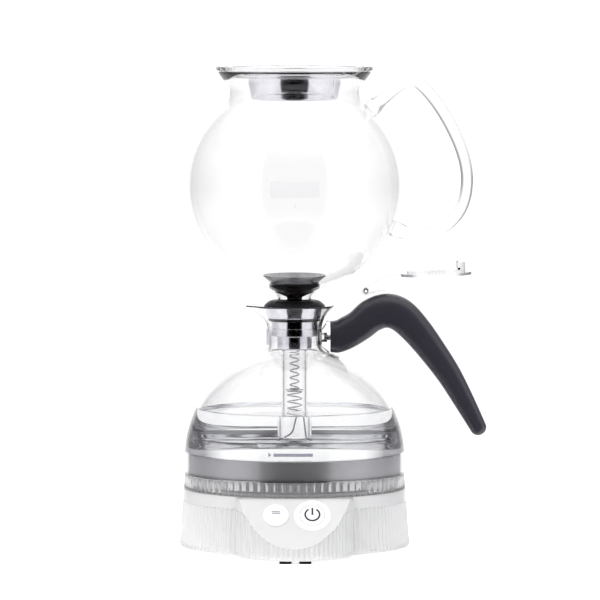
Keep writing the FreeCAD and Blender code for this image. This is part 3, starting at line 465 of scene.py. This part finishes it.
carafeSize = {
    "footZ": 57.2, "r": 82.8, "centreZ": 68.2, "wall": 2.4, "neckR": 20.25, "neckFillet": 5.0,
    "flareZ": 162.5, "flareR": 24.0, "lipZ": 181.5, "lipThin": 0.55,
    "spoutZ": 168.0, "spoutReach": 7.0, "spoutSpread": 0.34,
    "collarR": 83.4, "collarInner": 80.2, "collarZ": 45.0, "collarTopZ": 56.2,
    "collarRibs": 90, "collarRibDepth": 1.5,
    "waterZ": 103.1, "climb": 1.7, "overlap": 0.25,
}


def carafeWall(size, inset):
    # the carafe's side from foot to lip: a straight foot, a ball, a small fillet, the neck and an opening
    # arc; inset moves it towards the axis, so the ball shrinks and the fillet and flare arcs grow
    reach = size["neckR"] + size["neckFillet"]
    rise = np.sqrt((size["r"] + size["neckFillet"]) ** 2 - reach ** 2)
    meet = np.degrees(np.arctan2(rise, reach))
    foot = np.array([[size["r"] - inset, size["footZ"]], [size["r"] - inset, size["footZ"] + 4]])
    ball = arcRun((0, size["centreZ"]), size["r"] - inset, 0, meet, 56)
    fillet = arcRun((reach, size["centreZ"] + rise), size["neckFillet"] + inset, 180 + meet, 180, 14)
    spread = np.degrees(np.arcsin((size["lipZ"] - size["flareZ"]) / size["flareR"]))
    flareX = size["neckR"] + size["flareR"]
    flare = arcRun((flareX, size["flareZ"]), size["flareR"] + inset, 180, 180 - spread, 18)
    return np.concatenate([foot, ball, fillet, flare])


def pullSpout(grid, size):
    # the spout: towards -X a point near the lip moves out by reach * climb^1.6 * exp(-(angle / spread)^2)
    off = np.arctan2(grid[..., 1], -grid[..., 0])
    climb = np.clip((grid[..., 2] - size["spoutZ"]) / (size["lipZ"] - size["spoutZ"]), 0, 1) ** 1.6
    pull = size["spoutReach"] * climb * np.exp(-(off / size["spoutSpread"]) ** 2)
    r = np.maximum(np.hypot(grid[..., 0], grid[..., 1]), 1e-6)
    scale = (r + pull) / r
    return np.stack([grid[..., 0] * scale, grid[..., 1] * scale, grid[..., 2]], -1)


def roundLip(outer, inner, height):
    # half an oval from the outer to the inner edge: middle + half cos a + height * rise sin a
    half = (outer - inner) / 2
    rise = np.array([-half[1], half[0]])
    rise = rise if rise[1] > 0 else -rise
    a = np.radians(np.linspace(0, 180, 8))[1:-1, None]
    return (outer + inner) / 2 + half * np.cos(a) + rise * np.sin(a) * height


def makeCarafeGlass(size):
    # the wall thins towards the lip, by the share lipThin of its thickness at the top
    outside = carafeWall(size, 0)
    inside = carafeWall(size, size["wall"])
    climb = (outside[:, 1:] - size["flareZ"]) / (size["lipZ"] - size["flareZ"])
    inside = inside + (outside - inside) * np.clip(climb, 0, 1) * size["lipThin"]
    lip = roundLip(outside[-1], inside[-1], 0.8)
    grid = pullSpout(turned(np.concatenate([outside, lip, inside[::-1]]), 240), size)
    return piece("carafeShell", [grid], finishes["glass"], "carafe", ["carafe_glass"], crease=50)


def makeWater(size):
    # the water: it fills the dish and the glass up to its level, where a meniscus climb * exp(-fall / 1.3)
    # runs up the wall, which the water overlaps by a hair so that no air gap shows
    wall = size["r"] - size["wall"] + size["overlap"]
    low = np.degrees(np.arcsin((72.6 - size["centreZ"]) / wall))
    high = np.degrees(np.arcsin((size["waterZ"] + size["climb"] - size["centreZ"]) / wall))
    side = arcRun((0, size["centreZ"]), wall, low, high, 30)
    fall = np.linspace(0.6, 7, 9)
    meniscus = np.stack([side[-1, 0] - fall, size["waterZ"] + size["climb"] * np.exp(-fall / 1.3)], 1)
    floor = np.array([[0, 68.05], [76.3, 68.05], [78.2, 71.6]])
    top = np.stack([np.linspace(side[-1, 0] - 9, 0, 12), np.full(12, size["waterZ"])], 1)
    outline = np.concatenate([floor, side, meniscus, top])
    return piece("waterFill", [turned(outline, 200)], finishes["water"], "carafe",
                 loopRows=False, crease=40)


def makeCollar(size):
    # the clear collar: ribs stand out of it as the rounded humps of |sin|, fading at both ends
    u = np.linspace(0, 2 * np.pi, size["collarRibs"] * 12, endpoint=False)[None]
    z = np.array([0, 0.3, 1.0, 1.6, 2.4, 5, 8, 9.6, 10.2, 10.8, 11.2])[:, None] + size["collarZ"]
    high = size["collarTopZ"] - size["collarZ"]
    fade = np.clip(np.minimum(z - size["collarZ"] - 0.6, high - 0.5 - (z - size["collarZ"])) / 0.8, 0, 1)
    hump = np.abs(np.sin(u * size["collarRibs"] / 2))
    outside = size["collarR"] - 0.05 * (z - size["collarZ"]) - size["collarRibDepth"] * fade * (1 - hump)
    outside[0] -= 0.3
    outside[-1] -= 0.3
    inside = np.full((4, 1), size["collarInner"]) + 0 * u
    zIn = np.linspace(size["collarTopZ"], size["collarZ"], 4)[:, None]
    r = np.concatenate([outside, inside])
    grid = np.stack([r * np.cos(u), r * np.sin(u), np.concatenate([z, zIn]) + 0 * r], 2)
    return piece("collarRibbed", [grid], finishes["collar"], "carafe", ["carafe_collar"],
                 crease=50)


def makeDish():
    # the steel dish: a polished band behind the collar, a satin skirt with a rolled rim, and its bright plate
    band = [(79.0, 49.0), (79.75, 49.0), (79.75, 56.6), (79.0, 56.6)]
    grid = turned(softOutline(band, 0.1), 240)
    piece("dishBand", [grid], finishes["plate"], "carafe", ["heater_dish"])
    skirt = [(79.0, 56.6), (79.75, 56.6), (79.75, 71.2), (79.2, 71.8), (78.4, 71.6), (77.5, 70.0),
             (77.9, 69.6), (79.0, 70.6)]
    grid = turned(softOutline(skirt, [0.1, 0.1, 0.5, 0.4, 0.4, 0.2, 0.2, 0.3]), 240)
    piece("dishSkirt", [grid], finishes["skirt"], "carafe", ["heater_dish"])
    plate = [(77.6, 70.0), (76.6, 68.0), (0, 68.0), (0, 67.2), (76.0, 67.2), (77.8, 69.6)]
    grid = turned(softOutline(plate, [0.1, 1.4, 0, 0, 1.0, 0.1], closed=False), 240)
    grid = np.concatenate([grid, grid[:1]])
    piece("dishPlate", [grid], finishes["plate"], "carafe", ["heater_dish"], loopRows=False)


def onBall(across, height, radius, centreZ):
    # lays a flat picture on the front of a ball, turning (across, height) into a place at that radius
    flat = np.sqrt(np.maximum(radius ** 2 - (height - centreZ) ** 2, 0))
    a = across / flat
    return np.stack([flat * np.sin(a), -flat * np.cos(a), height], -1)


def sheetOn(name, across, height, ball, finish, body, thick=0.12):
    # a thin sheet on a ball, closed by folding its border down to the glass
    grid = onBall(across, height, ball["r"] + thick, ball["centreZ"])
    low = onBall(across, height, ball["r"] + 0.02, ball["centreZ"])
    rim = np.concatenate([low[:1], grid, low[-1:]])
    left = np.concatenate([low[:1, :1], low[:, :1], low[-1:, :1]])
    right = np.concatenate([low[:1, -1:], low[:, -1:], low[-1:, -1:]])
    front = np.concatenate([left, rim, right], 1)
    back = np.concatenate([low[:1], low, low[-1:]])
    back = np.concatenate([left, back, right], 1)[::-1]
    return piece(name, [np.concatenate([front, back])], finish, body, loopRows=True, loopColumns=False)


levelMark = {"z": 76.9, "x": -1.0, "halfWide": 14.6, "halfHigh": 1.15, "arrowX": -19.4, "arrow": 2.2}


def makeLevelMark(size, ball):
    # the fill mark on the front of the glass: a bar with a small triangle at its left end
    s, t = np.meshgrid(np.linspace(-1, 1, 30), np.linspace(-1, 1, 4), indexing="xy")
    across = size["x"] + size["halfWide"] * s
    sheetOn("levelBar", across, size["z"] + size["halfHigh"] * t, ball, finishes["softMark"], "carafe")
    s, t = np.meshgrid(np.linspace(0, 1, 8), np.linspace(-1, 1, 4), indexing="xy")
    across = size["arrowX"] + size["arrow"] * s
    sheetOn("levelArrow", across, size["z"] + 1.8 * t * (1 - s), ball, finishes["softMark"], "carafe")


# the grip's spine from the neck to the tip: place, heading in degrees, half height and half width
gripRows = [
    (25.0, 159.2, 0, 11.4, 9.0), (34.0, 159.4, 10, 12.2, 10.2), (48.0, 166.8, 40, 12.0, 10.8),
    (58.0, 174.8, 30, 12.6, 11.0), (69.0, 178.4, 0, 12.9, 11.0), (80.0, 175.0, -32, 12.6, 11.0),
    (91.5, 163.8, -48, 11.6, 10.6), (104.0, 147.8, -53, 10.4, 9.8), (116.5, 129.8, -57, 9.2, 8.8),
    (128.0, 109.6, -61, 7.8, 7.6), (138.3, 90.4, -63, 6.2, 6.0),
]
gripSize = {"faceX": 27.0, "squareness": 2.9, "tip": 6.0}


def makeGrip(rows, size):
    # squarish ovals |u / high|^n + |v / wide|^n = 1 carried along the spine, closing over the tip as a ball
    spine = smoothRows(rows, 12)
    face = [np.interp(size["faceX"], spine[:, 0], column) for column in spine.T]
    x, z, heading, high, wide = np.concatenate([[face], spine[spine[:, 0] > size["faceX"]]]).T
    a = np.radians(np.linspace(0, 90, 9))[1:]
    turn = np.radians(heading[-1])
    x = np.concatenate([x, x[-1] + size["tip"] * np.sin(a) * np.cos(turn)])
    z = np.concatenate([z, z[-1] + size["tip"] * np.sin(a) * np.sin(turn)])
    heading = np.concatenate([heading, np.full(len(a), heading[-1])])
    high = np.concatenate([high, high[-1] * np.cos(a)])
    wide = np.concatenate([wide, wide[-1] * np.cos(a)])
    v = np.linspace(0, 2 * np.pi, 64, endpoint=False)
    power = 2 / size["squareness"]
    up = high[:, None] * np.sign(np.cos(v)) * np.abs(np.cos(v)) ** power
    side = wide[:, None] * np.sign(np.sin(v)) * np.abs(np.sin(v)) ** power
    lean = np.radians(heading)[:, None]
    grid = np.stack([x[:, None] - up * np.sin(lean), side, z[:, None] + up * np.cos(lean)], 2)
    grid[0, :, 0] = size["faceX"]
    edge = grid[:1] * [0, 0.93, 0.93] + [size["faceX"], 0, z[0] * 0.07]
    hub = np.repeat(np.array([[[size["faceX"], 0, z[0]]]]), 64, 1)
    closed = np.concatenate([hub, edge, grid])
    return piece("gripBody", [closed], finishes["grip"], "carafe", ["handle_grip"],
                 loopRows=False, crease=60)


makeCarafeGlass(carafeSize)
makeWater(carafeSize)
makeCollar(carafeSize)
makeDish()
makeLevelMark(levelMark, carafeSize)
makeGrip(gripRows, gripSize)
print("carafe made")


# globe

globeSize = {
    "r": 81.0, "centreZ": 272.25, "wall": 2.2, "throatR": 13.1, "throatFillet": 8.0, "throatZ": 172.2,
    "mouthR": 50.0, "mouthArc": 13.9, "mouthSpread": 36.0, "rimZ": 357.0,
    "rodR": 4.6, "topSwell": 1.9, "lowSwell": 1.7,
    "patchWide": 36.6, "patchHigh": 12.2, "patchX": 0.4, "patchZ": 272.8, "dotZ": 260.5, "dotR": 1.1,
}


def globeWall(size, inset):
    # the globe's side from throat to rim: a tube, a fillet, the ball, the hollow mouth arc and a straight rim
    throat = size["throatR"] + size["throatFillet"]
    drop = np.sqrt((size["r"] + size["throatFillet"]) ** 2 - throat ** 2)
    low = np.degrees(np.arctan2(drop, throat))
    mouth = size["mouthR"] + size["mouthArc"]
    rise = np.sqrt((size["r"] + size["mouthArc"]) ** 2 - mouth ** 2)
    high = np.degrees(np.arctan2(rise, mouth))
    bore = size["throatR"] - inset
    tube = np.array([[bore, size["throatZ"]], [bore, size["throatZ"] + 8]])
    fillet = arcRun((throat, size["centreZ"] - drop), size["throatFillet"] + inset, 180, 180 - low, 16)
    ball = arcRun((0, size["centreZ"]), size["r"] - inset, -low, high, 90)
    arcZ = size["centreZ"] + rise
    arc = arcRun((mouth, arcZ), size["mouthArc"] + inset, 180 + high, 180 - size["mouthSpread"], 22)
    spread = np.radians(size["mouthSpread"])
    left = size["rimZ"] - arcZ - size["mouthArc"] * np.sin(spread)
    rim = arc[-1:] + left * np.array([[np.tan(spread), 1]])
    return np.concatenate([tube, fillet, ball, arc, rim])


def makeGlobeGlass(size):
    # the outer side, a round lip and the inner side back down, turned about the axis
    outside = globeWall(size, 0)
    inside = globeWall(size, size["wall"])
    lip = roundLip(outside[-1], inside[-1], 0.7)
    grid = turned(np.concatenate([outside, lip, inside[::-1]]), 240)
    return piece("globeShell", [grid], finishes["glass"], "globe", ["globe_glass"], crease=50)


rodCorners = [(54.5, 327.2), (82.6, 352.0), (92.9, 352.0), (113.0, 327.5), (129.6, 291.5), (129.6, 263.6),
              (119.6, 245.5), (101.9, 235.8), (86.9, 235.8), (68.0, 242.0)]


def makeGlobeHandle(corners, size):
    # a glass rod with rounded corners; at s along it the radius is rodR + swell * exp(-((s - 3) / 5)^2) near
    # each end, where it is fused to the ball
    line = softOutline(corners, 40, 14, closed=False)
    for _ in range(3):
        line[1:-1] = (line[:-2] + 2 * line[1:-1] + line[2:]) / 4
    gap = np.concatenate([[0], np.cumsum(np.linalg.norm(np.diff(line, axis=0), axis=1))])
    s = np.linspace(0, gap[-1], 150)
    path = np.stack([np.interp(s, gap, line[:, 0]), 0 * s, np.interp(s, gap, line[:, 1])], 1)
    reach = np.hypot(path[:, 0], path[:, 2] - size["centreZ"])
    keep = reach > size["r"] - 0.9
    path = path[keep]
    s = np.linspace(0, 1, len(path)) * (s[keep][-1] - s[keep][0])
    radius = size["rodR"] + size["topSwell"] * np.exp(-((s - 3) / 5) ** 2)
    radius = radius + size["lowSwell"] * np.exp(-((s[-1] - s - 3) / 5) ** 2)
    ends = [np.repeat(path[k][None, None], 28, 1) for k in (0, -1)]
    grid = np.concatenate([ends[0], bar(path, radius, (0, 1, 0), 28), ends[1]])
    return piece("globeRod", [grid], finishes["glass"], "globe", ["globe_handle"],
                 loopRows=False, crease=60)


def makePatch(size):
    # a plain frosted patch on the front of the ball, with a small dot under it
    s, t = np.meshgrid(np.linspace(-1, 1, 40), np.linspace(-1, 1, 14), indexing="xy")
    corner = np.clip(np.abs(t) - 0.8, 0, 1) / 0.2
    across = size["patchX"] + size["patchWide"] / 2 * s * (1 - 0.03 * corner ** 2)
    height = size["patchZ"] + size["patchHigh"] / 2 * t
    sheetOn("frostedPatch", across, height, size, finishes["frost"], "globe")
    r, a = np.meshgrid(np.linspace(0.05, size["dotR"], 5), np.linspace(0, 2 * np.pi, 25), indexing="ij")
    across, height = size["patchX"] + r * np.cos(a), size["dotZ"] + r * np.sin(a)
    sheetOn("frostedDot", across, height, size, finishes["frost"], "globe")


stemSize = {
    "r": 9.75, "wall": 1.85, "topZ": 172.0, "lowZ": 79.5, "flangeR": 12.9,
}
upperCoil = {"r": 3.4, "wire": 0.42, "lowZ": 120.0, "turns": 12, "pitch": 5.3}
lowerCoil = {"r": 5.4, "wire": 0.45, "lowZ": 102.5, "turns": 3, "pitch": 5.0}


def makeStem(size):
    # the stem: a tube with a flange at its top, turned about the axis
    inner = size["r"] - size["wall"]
    flangeZ = size["topZ"] - 2
    corners = [(inner, size["lowZ"]), (size["r"], size["lowZ"]), (size["r"], flangeZ),
               (size["flangeR"], flangeZ), (size["flangeR"], size["topZ"]), (inner, size["topZ"])]
    grid = turned(softOutline(corners, [0.5, 0.5, 0.3, 0.3, 0.3, 0.3]), 96)
    return piece("stemTube", [grid], finishes["glass"], "globe", ["stem_tube"])


def makeCoil(name, size, body, stands):
    # a helix (r cos a, r sin a, z0 + pitch a / 2 pi), whose first and last half turns close up flat
    turns = size["turns"]
    a = np.linspace(-np.pi, 2 * np.pi * turns + np.pi, turns * 40 + 40)
    climb = np.clip(a / (2 * np.pi), 0, turns) * size["pitch"]
    path = np.stack([size["r"] * np.cos(a), size["r"] * np.sin(a), size["lowZ"] + climb], 1)
    path, sizes = domed(path, size["wire"], 4)
    outward = path * [1, 1, 0]
    grid = bar(path, np.maximum(sizes, 1e-3), outward, 10)
    return piece(name, [grid], finishes["wire"], body, [stands], loopRows=False)


def makeHook():
    # the wire hook: up the stem from under its left edge, over a narrow bend and down to its right edge
    corners = [(9.2, 0, 77.4), (6.6, 0, 78.8), (4.4, 0, 97.5), (2.4, 0, 97.5), (-1.2, 0, 82.0),
               (-6.2, 0, 79.4), (-9.2, 0, 77.4)]
    path, sizes = domed(softOutline(corners, 3.0, 10, closed=False), 0.45, 4)
    wire = bar(path, np.maximum(sizes, 1e-3), (0, 1, 0), 10)
    a = np.linspace(0, 2 * np.pi, 60)
    eye = np.stack([5.4 * np.cos(a), 5.4 * np.sin(a), np.full(60, 101.0)], 1)
    loop = bar(eye, 0.45, eye * [1, 1, 0], 10)
    link, sizes = domed(np.array([[5.2, 0, 101.0], [4.3, 0, 99.2], [3.4, 0, 97.6]]), 0.45, 4)
    drop = bar(link, np.maximum(sizes, 1e-3), (0, 1, 0), 10)
    return piece("stemHook", [wire, loop, drop], finishes["wire"], "globe", ["stem_hook"],
                 loopRows=False)


def makeStopper():
    # the bright stepped skirt, the black silicone body inside it and the seal in its groove
    skirt = [(22.9, 181.2), (19.7, 173.1), (17.5, 172.4), (17.5, 159.6), (13.2, 159.3), (13.1, 148.9),
             (10.1, 148.9), (10.1, 149.7), (12.3, 149.7), (12.3, 160.2), (16.7, 160.2), (16.7, 173.7),
             (18.8, 173.7), (22.0, 181.2)]
    rounding = [0.2, 0.5, 0.3, 0.7, 0.4, 0.8, 0.1, 0.1, 0.3, 0.3, 0.3, 0.3, 0.3, 0.2]
    grid = turned(softOutline(skirt, rounding), 160)
    piece("stopperSkirt", [grid], finishes["mirror"], "globe", ["stopper_shell"], crease=40)
    body = [(13.15, 185.0), (14.2, 186.4), (18.6, 186.4), (22.9, 182.6), (22.9, 181.3), (21.9, 181.2),
            (18.7, 173.8), (16.6, 173.7), (16.6, 160.3), (12.2, 160.2), (12.2, 149.8), (9.8, 149.8),
            (9.8, 169.9), (13.15, 169.9)]
    grid = turned(softOutline(body, [0.5, 0.5, 3.0, 2.0, 0.3] + [0.2] * 9), 128)
    piece("stopperBody", [grid], finishes["rubber"], "globe", ["stopper"], crease=40)
    lip = [(17.6, 170.7), (19.0, 170.9), (19.35, 171.6), (19.0, 172.8), (17.6, 172.6)]
    grid = turned(softOutline(lip, 0.4), 128)
    piece("neckSeal", [grid], finishes["rubber"], "globe", ["neck_seal"])


def makeFilter():
    # the strainer: a plate on a core with a rounded seat ring under it and a thin flared dish over it
    plate = [(0, 183.6), (2.4, 183.6), (5.7, 185.6), (5.7, 189.6), (12.8, 193.2), (12.8, 198.6),
             (18.4, 198.6), (18.4, 199.8), (7.0, 200.4), (5.6, 203.2), (0, 204.0)]
    grid = turned(softOutline(plate, 0.6, closed=False), 96)
    piece("filterPlate", [grid], finishes["dark"], "filter", ["filter_body"], loopRows=False)
    seat = [(12.85, 193.2), (15.2, 194.7), (18.9, 196.3), (19.4, 197.4), (18.4, 198.5), (12.85, 198.5)]
    grid = turned(softOutline(seat, 0.7), 96)
    piece("filterSeat", [grid], finishes["rubber"], "filter", ["filter_gasket"])
    dish = [(16.4, 199.95), (18.6, 199.95), (23.6, 204.2), (23.6, 205.2), (22.6, 205.4), (16.4, 201.2)]
    grid = turned(softOutline(dish, 0.35), 128)
    piece("filterDish", [grid], finishes["smoked"], "filter", ["filter_dish"])


def makeGlobeLid():
    # the lid: a clear stepped brim, the pressed steel cup that hangs in it and its soft ring
    brim = [(37.2, 353.6), (51.0, 353.6), (51.4, 356.4), (53.6, 358.9), (58.9, 358.9), (58.9, 361.5),
            (58.2, 361.9), (54.0, 361.9), (49.0, 358.2), (37.2, 358.2)]
    grid = turned(softOutline(brim, [0.4, 0.8, 0.8, 0.8, 0.8, 0.5, 0.4, 1.2, 1.2, 0.4]), 200)
    piece("lidBrim", [grid], finishes["clear"], "globe_lid", ["globe_lid_ring"], crease=40)
    cup = [(0, 335.9), (32.4, 335.9), (36.6, 358.3), (39.8, 358.3), (39.8, 359.0), (35.9, 359.0),
           (31.8, 336.6), (0, 336.6)]
    grid = turned(softOutline(cup, [0, 2.6, 0.8, 0.3, 0.3, 0.8, 2.0, 0], closed=False), 200)
    piece("lidCup", [grid], finishes["mirror"], "globe_lid", ["globe_lid_cup"],
          loopRows=False, crease=40)
    soft = [(51.1, 354.0), (51.9, 354.3), (51.9, 354.9), (51.3, 355.4)]
    grid = turned(softOutline(soft, 0.2), 160)
    piece("lidSoftRing", [grid], finishes["clear"], "globe_lid", ["globe_lid_gasket"])


makeGlobeGlass(globeSize)
makeGlobeHandle(rodCorners, globeSize)
makePatch(globeSize)
makeStem(stemSize)
makeCoil("filterSpring", upperCoil, "filter", "filter_spring")
makeCoil("lowerSpring", lowerCoil, "globe", "lower_spring")
makeHook()
makeStopper()
makeFilter()
makeGlobeLid()
print("globe made")


# finishes of the parts that keep their own shape

keptFinish = {
    "base_liner": "white", "bottom_plate": "white", "foot_ring": "rubber", "front_feet": "rubber",
    "bottom_screws": "wire", "connector_post": "white", "connector_contacts": "brass",
    "cable_gland": "grey", "mains_terminal": "white",
    "control_board": "board", "board_switches": "black", "board_lights": "amber", "board_posts": "white",
    "lead_brown": "brown", "lead_blue": "blue", "lead_earth": "green", "glass_seal": "clear",
    "heat_spreader": "aluminium",
    "heating_element": "wire", "thermostat": "black", "carafe_bottom_cover": "grey", "cover_screws": "wire",
    "cover_pillars": "aluminium", "neck_band": "clear", "handle_screw": "wire", "lid_hinge_block": "clear",
    "lid_hinge_pin": "clear", "carafe_lid": "clear", "spring_washer": "wire", "filter_mesh": "wire",
}
for node, finish in keptFinish.items():
    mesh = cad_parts[node].data
    mesh.materials.clear()
    mesh.materials.append(finishes[finish])
print("kept parts finished:", len(keptFinish))


# studio

studio = {
    "camera": (0.0041, -3.766, 0.425), "target": (0.0041, 0.0, 0.1864), "lens": 301.0,
    "floorFront": -0.15, "floorBack": 0.75, "floorSide": 0.75, "floorGlow": 0.42,
    "sun": 3.0, "sunAngle": 90.0, "sunFront": 52.0, "sunLeft": -14.0, "bounces": 40,
}


def makeStudio(size):
    # the camera, a pale floor that glows a little and one wide soft sun for the matt surfaces
    camera = bpy.data.objects.new("camera", bpy.data.cameras.new("camera"))
    bpy.context.scene.collection.objects.link(camera)
    camera.data.lens = size["lens"]
    camera.data.sensor_width = 36
    camera.data.clip_end = 400
    camera.location = size["camera"]
    gaze = Vector(size["target"]) - Vector(size["camera"])
    camera.rotation_euler = gaze.to_track_quat("-Z", "Y").to_euler()
    bpy.context.scene.camera = camera
    front, back, side = size["floorFront"], size["floorBack"], size["floorSide"]
    corners = [(-side, front, 0), (side, front, 0), (side, back, 0), (-side, back, 0)]
    mesh = bpy.data.meshes.new("floor")
    mesh.from_pydata(corners, [], [(0, 1, 2, 3)])
    floor = bpy.data.objects.new("floor", mesh)
    bpy.context.scene.collection.objects.link(floor)
    material, _, surface = shader("paleFloor", Roughness=0.9, Base_Color=(0.93, 0.93, 0.935, 1))
    surface.inputs["Emission Color"].default_value = (1, 1, 1, 1)
    surface.inputs["Emission Strength"].default_value = size["floorGlow"]
    mesh.materials.append(material)
    floor.visible_glossy = False  # glass and steel mirror the room only, so no floor edge shows in them
    floor.visible_transmission = False
    sun = bpy.data.objects.new("softTop", bpy.data.lights.new("softTop", "SUN"))
    bpy.context.scene.collection.objects.link(sun)
    sun.data.energy = size["sun"]
    sun.data.angle = np.radians(size["sunAngle"])
    sun.visible_glossy = False
    sun.visible_transmission = False
    sun.rotation_euler = (np.radians(size["sunFront"]), np.radians(size["sunLeft"]), 0)


def roomRamp(tree, stops):
    # grey by compass direction, from place 0 behind the object to 1 behind the camera; each grey leans to
    # lavender by 0.1 * (1 - value)
    ramp = tree.nodes.new("ShaderNodeValToRGB")
    ramp.color_ramp.elements.remove(ramp.color_ramp.elements[1])
    ramp.color_ramp.elements[0].position = stops[0][0]
    for place, _ in stops[1:]:
        ramp.color_ramp.elements.new(place)
    for element, (_, value) in zip(ramp.color_ramp.elements, stops):
        lean = 0.10 * max(0.0, 1 - value)
        element.color = (value * (1 - 0.8 * lean), value * (1 - lean), value, 1)
    return ramp


room = {
    "level": [(0.0, 1.0), (0.035, 1.0), (0.08, 0.42), (0.30, 0.22), (0.52, 0.40), (0.60, 0.72), (0.885, 0.66),
              (0.915, 0.004), (1.0, 0.0)],
    "below": [(0.0, 0.92), (0.20, 0.86), (0.52, 0.92), (0.66, 1.0), (0.885, 0.92),
              (0.915, 0.004), (1.0, 0.0)],
    "through": [(0.0, 1.0), (0.035, 1.0), (0.08, 0.42), (0.26, 0.22), (0.40, 0.60), (0.48, 0.88),
                (0.62, 0.90), (0.88, 0.86), (0.95, 1.0), (1.0, 1.0)],
    "belowFrom": -0.06, "belowFull": -0.32, "overheadFrom": 0.45, "overheadFull": 0.75, "strength": 1.12,
}


def shareOf(tree, value, start, full):
    # rises from 0 at start to 1 at full
    share = tree.nodes.new("ShaderNodeMapRange")
    share.inputs["From Min"].default_value = start
    share.inputs["From Max"].default_value = full
    tree.links.new(value, share.inputs["Value"])
    return share.outputs["Result"]


def blend(tree, share, first, second):
    # first * (1 - share) + second * share, where second is a colour or another node's output
    mix = tree.nodes.new("ShaderNodeMix")
    mix.data_type = "RGBA"
    tree.links.new(share, mix.inputs[0])
    tree.links.new(first, mix.inputs[6])
    if isinstance(second, tuple):
        mix.inputs[7].default_value = second
    else:
        tree.links.new(second, mix.inputs[7])
    return mix.outputs[2]


def makeRoom(size):
    # the light round the object by direction: mirrored light sees a dark gap behind the camera, bright walls
    # at the front, grey sides and white behind, and another ramp below the horizon; light that has only come
    # through glass sees a ramp without the gap; both turn white overhead, and the camera sees plain white
    world = bpy.data.worlds.new("room")
    bpy.context.scene.world = world
    world.use_nodes = True
    tree = world.node_tree
    background = tree.nodes["Background"]
    place = tree.nodes.new("ShaderNodeTexCoord")
    flat = tree.nodes.new("ShaderNodeVectorMath")
    flat.operation = "MULTIPLY"
    flat.inputs[1].default_value = (1, 1, 0)
    unit = tree.nodes.new("ShaderNodeVectorMath")
    unit.operation = "NORMALIZE"
    facing = tree.nodes.new("ShaderNodeVectorMath")
    facing.operation = "DOT_PRODUCT"
    facing.inputs[1].default_value = (0, -1, 0)
    spread = tree.nodes.new("ShaderNodeMapRange")
    spread.inputs["From Min"].default_value = -1
    level = roomRamp(tree, size["level"])
    below = roomRamp(tree, size["below"])
    through = roomRamp(tree, size["through"])
    split = tree.nodes.new("ShaderNodeSeparateXYZ")
    tree.links.new(place.outputs["Generated"], flat.inputs[0])
    tree.links.new(flat.outputs[0], unit.inputs[0])
    tree.links.new(unit.outputs[0], facing.inputs[0])
    tree.links.new(facing.outputs["Value"], spread.inputs["Value"])
    tree.links.new(spread.outputs["Result"], level.inputs["Fac"])
    tree.links.new(spread.outputs["Result"], below.inputs["Fac"])
    tree.links.new(spread.outputs["Result"], through.inputs["Fac"])
    tree.links.new(place.outputs["Generated"], split.inputs[0])
    ray = tree.nodes.new("ShaderNodeLightPath")
    bounced = tree.nodes.new("ShaderNodeMath")
    tree.links.new(ray.outputs["Glossy Depth"], bounced.inputs[0])
    tree.links.new(ray.outputs["Diffuse Depth"], bounced.inputs[1])
    white = (1, 1, 1, 1)
    lowShare = shareOf(tree, split.outputs["Z"], size["belowFrom"], size["belowFull"])
    topShare = shareOf(tree, split.outputs["Z"], size["overheadFrom"], size["overheadFull"])
    mirrored = blend(tree, lowShare, level.outputs["Color"], below.outputs["Color"])
    passed = blend(tree, lowShare, through.outputs["Color"], white)
    sides = blend(tree, bounced.outputs["Value"], passed, mirrored)
    closed = blend(tree, topShare, sides, white)
    tree.links.new(blend(tree, ray.outputs["Is Camera Ray"], closed, white), background.inputs["Color"])
    background.inputs["Strength"].default_value = size["strength"]


makeStudio(studio)
makeRoom(room)
bpy.context.scene.view_settings.view_transform = "Standard"
bpy.context.scene.cycles.max_bounces = studio["bounces"]  # light has to get through glass, water and steel
bpy.context.scene.cycles.transmission_bounces = studio["bounces"]
bpy.context.scene.cycles.glossy_bounces = studio["bounces"] // 2
print("studio made")
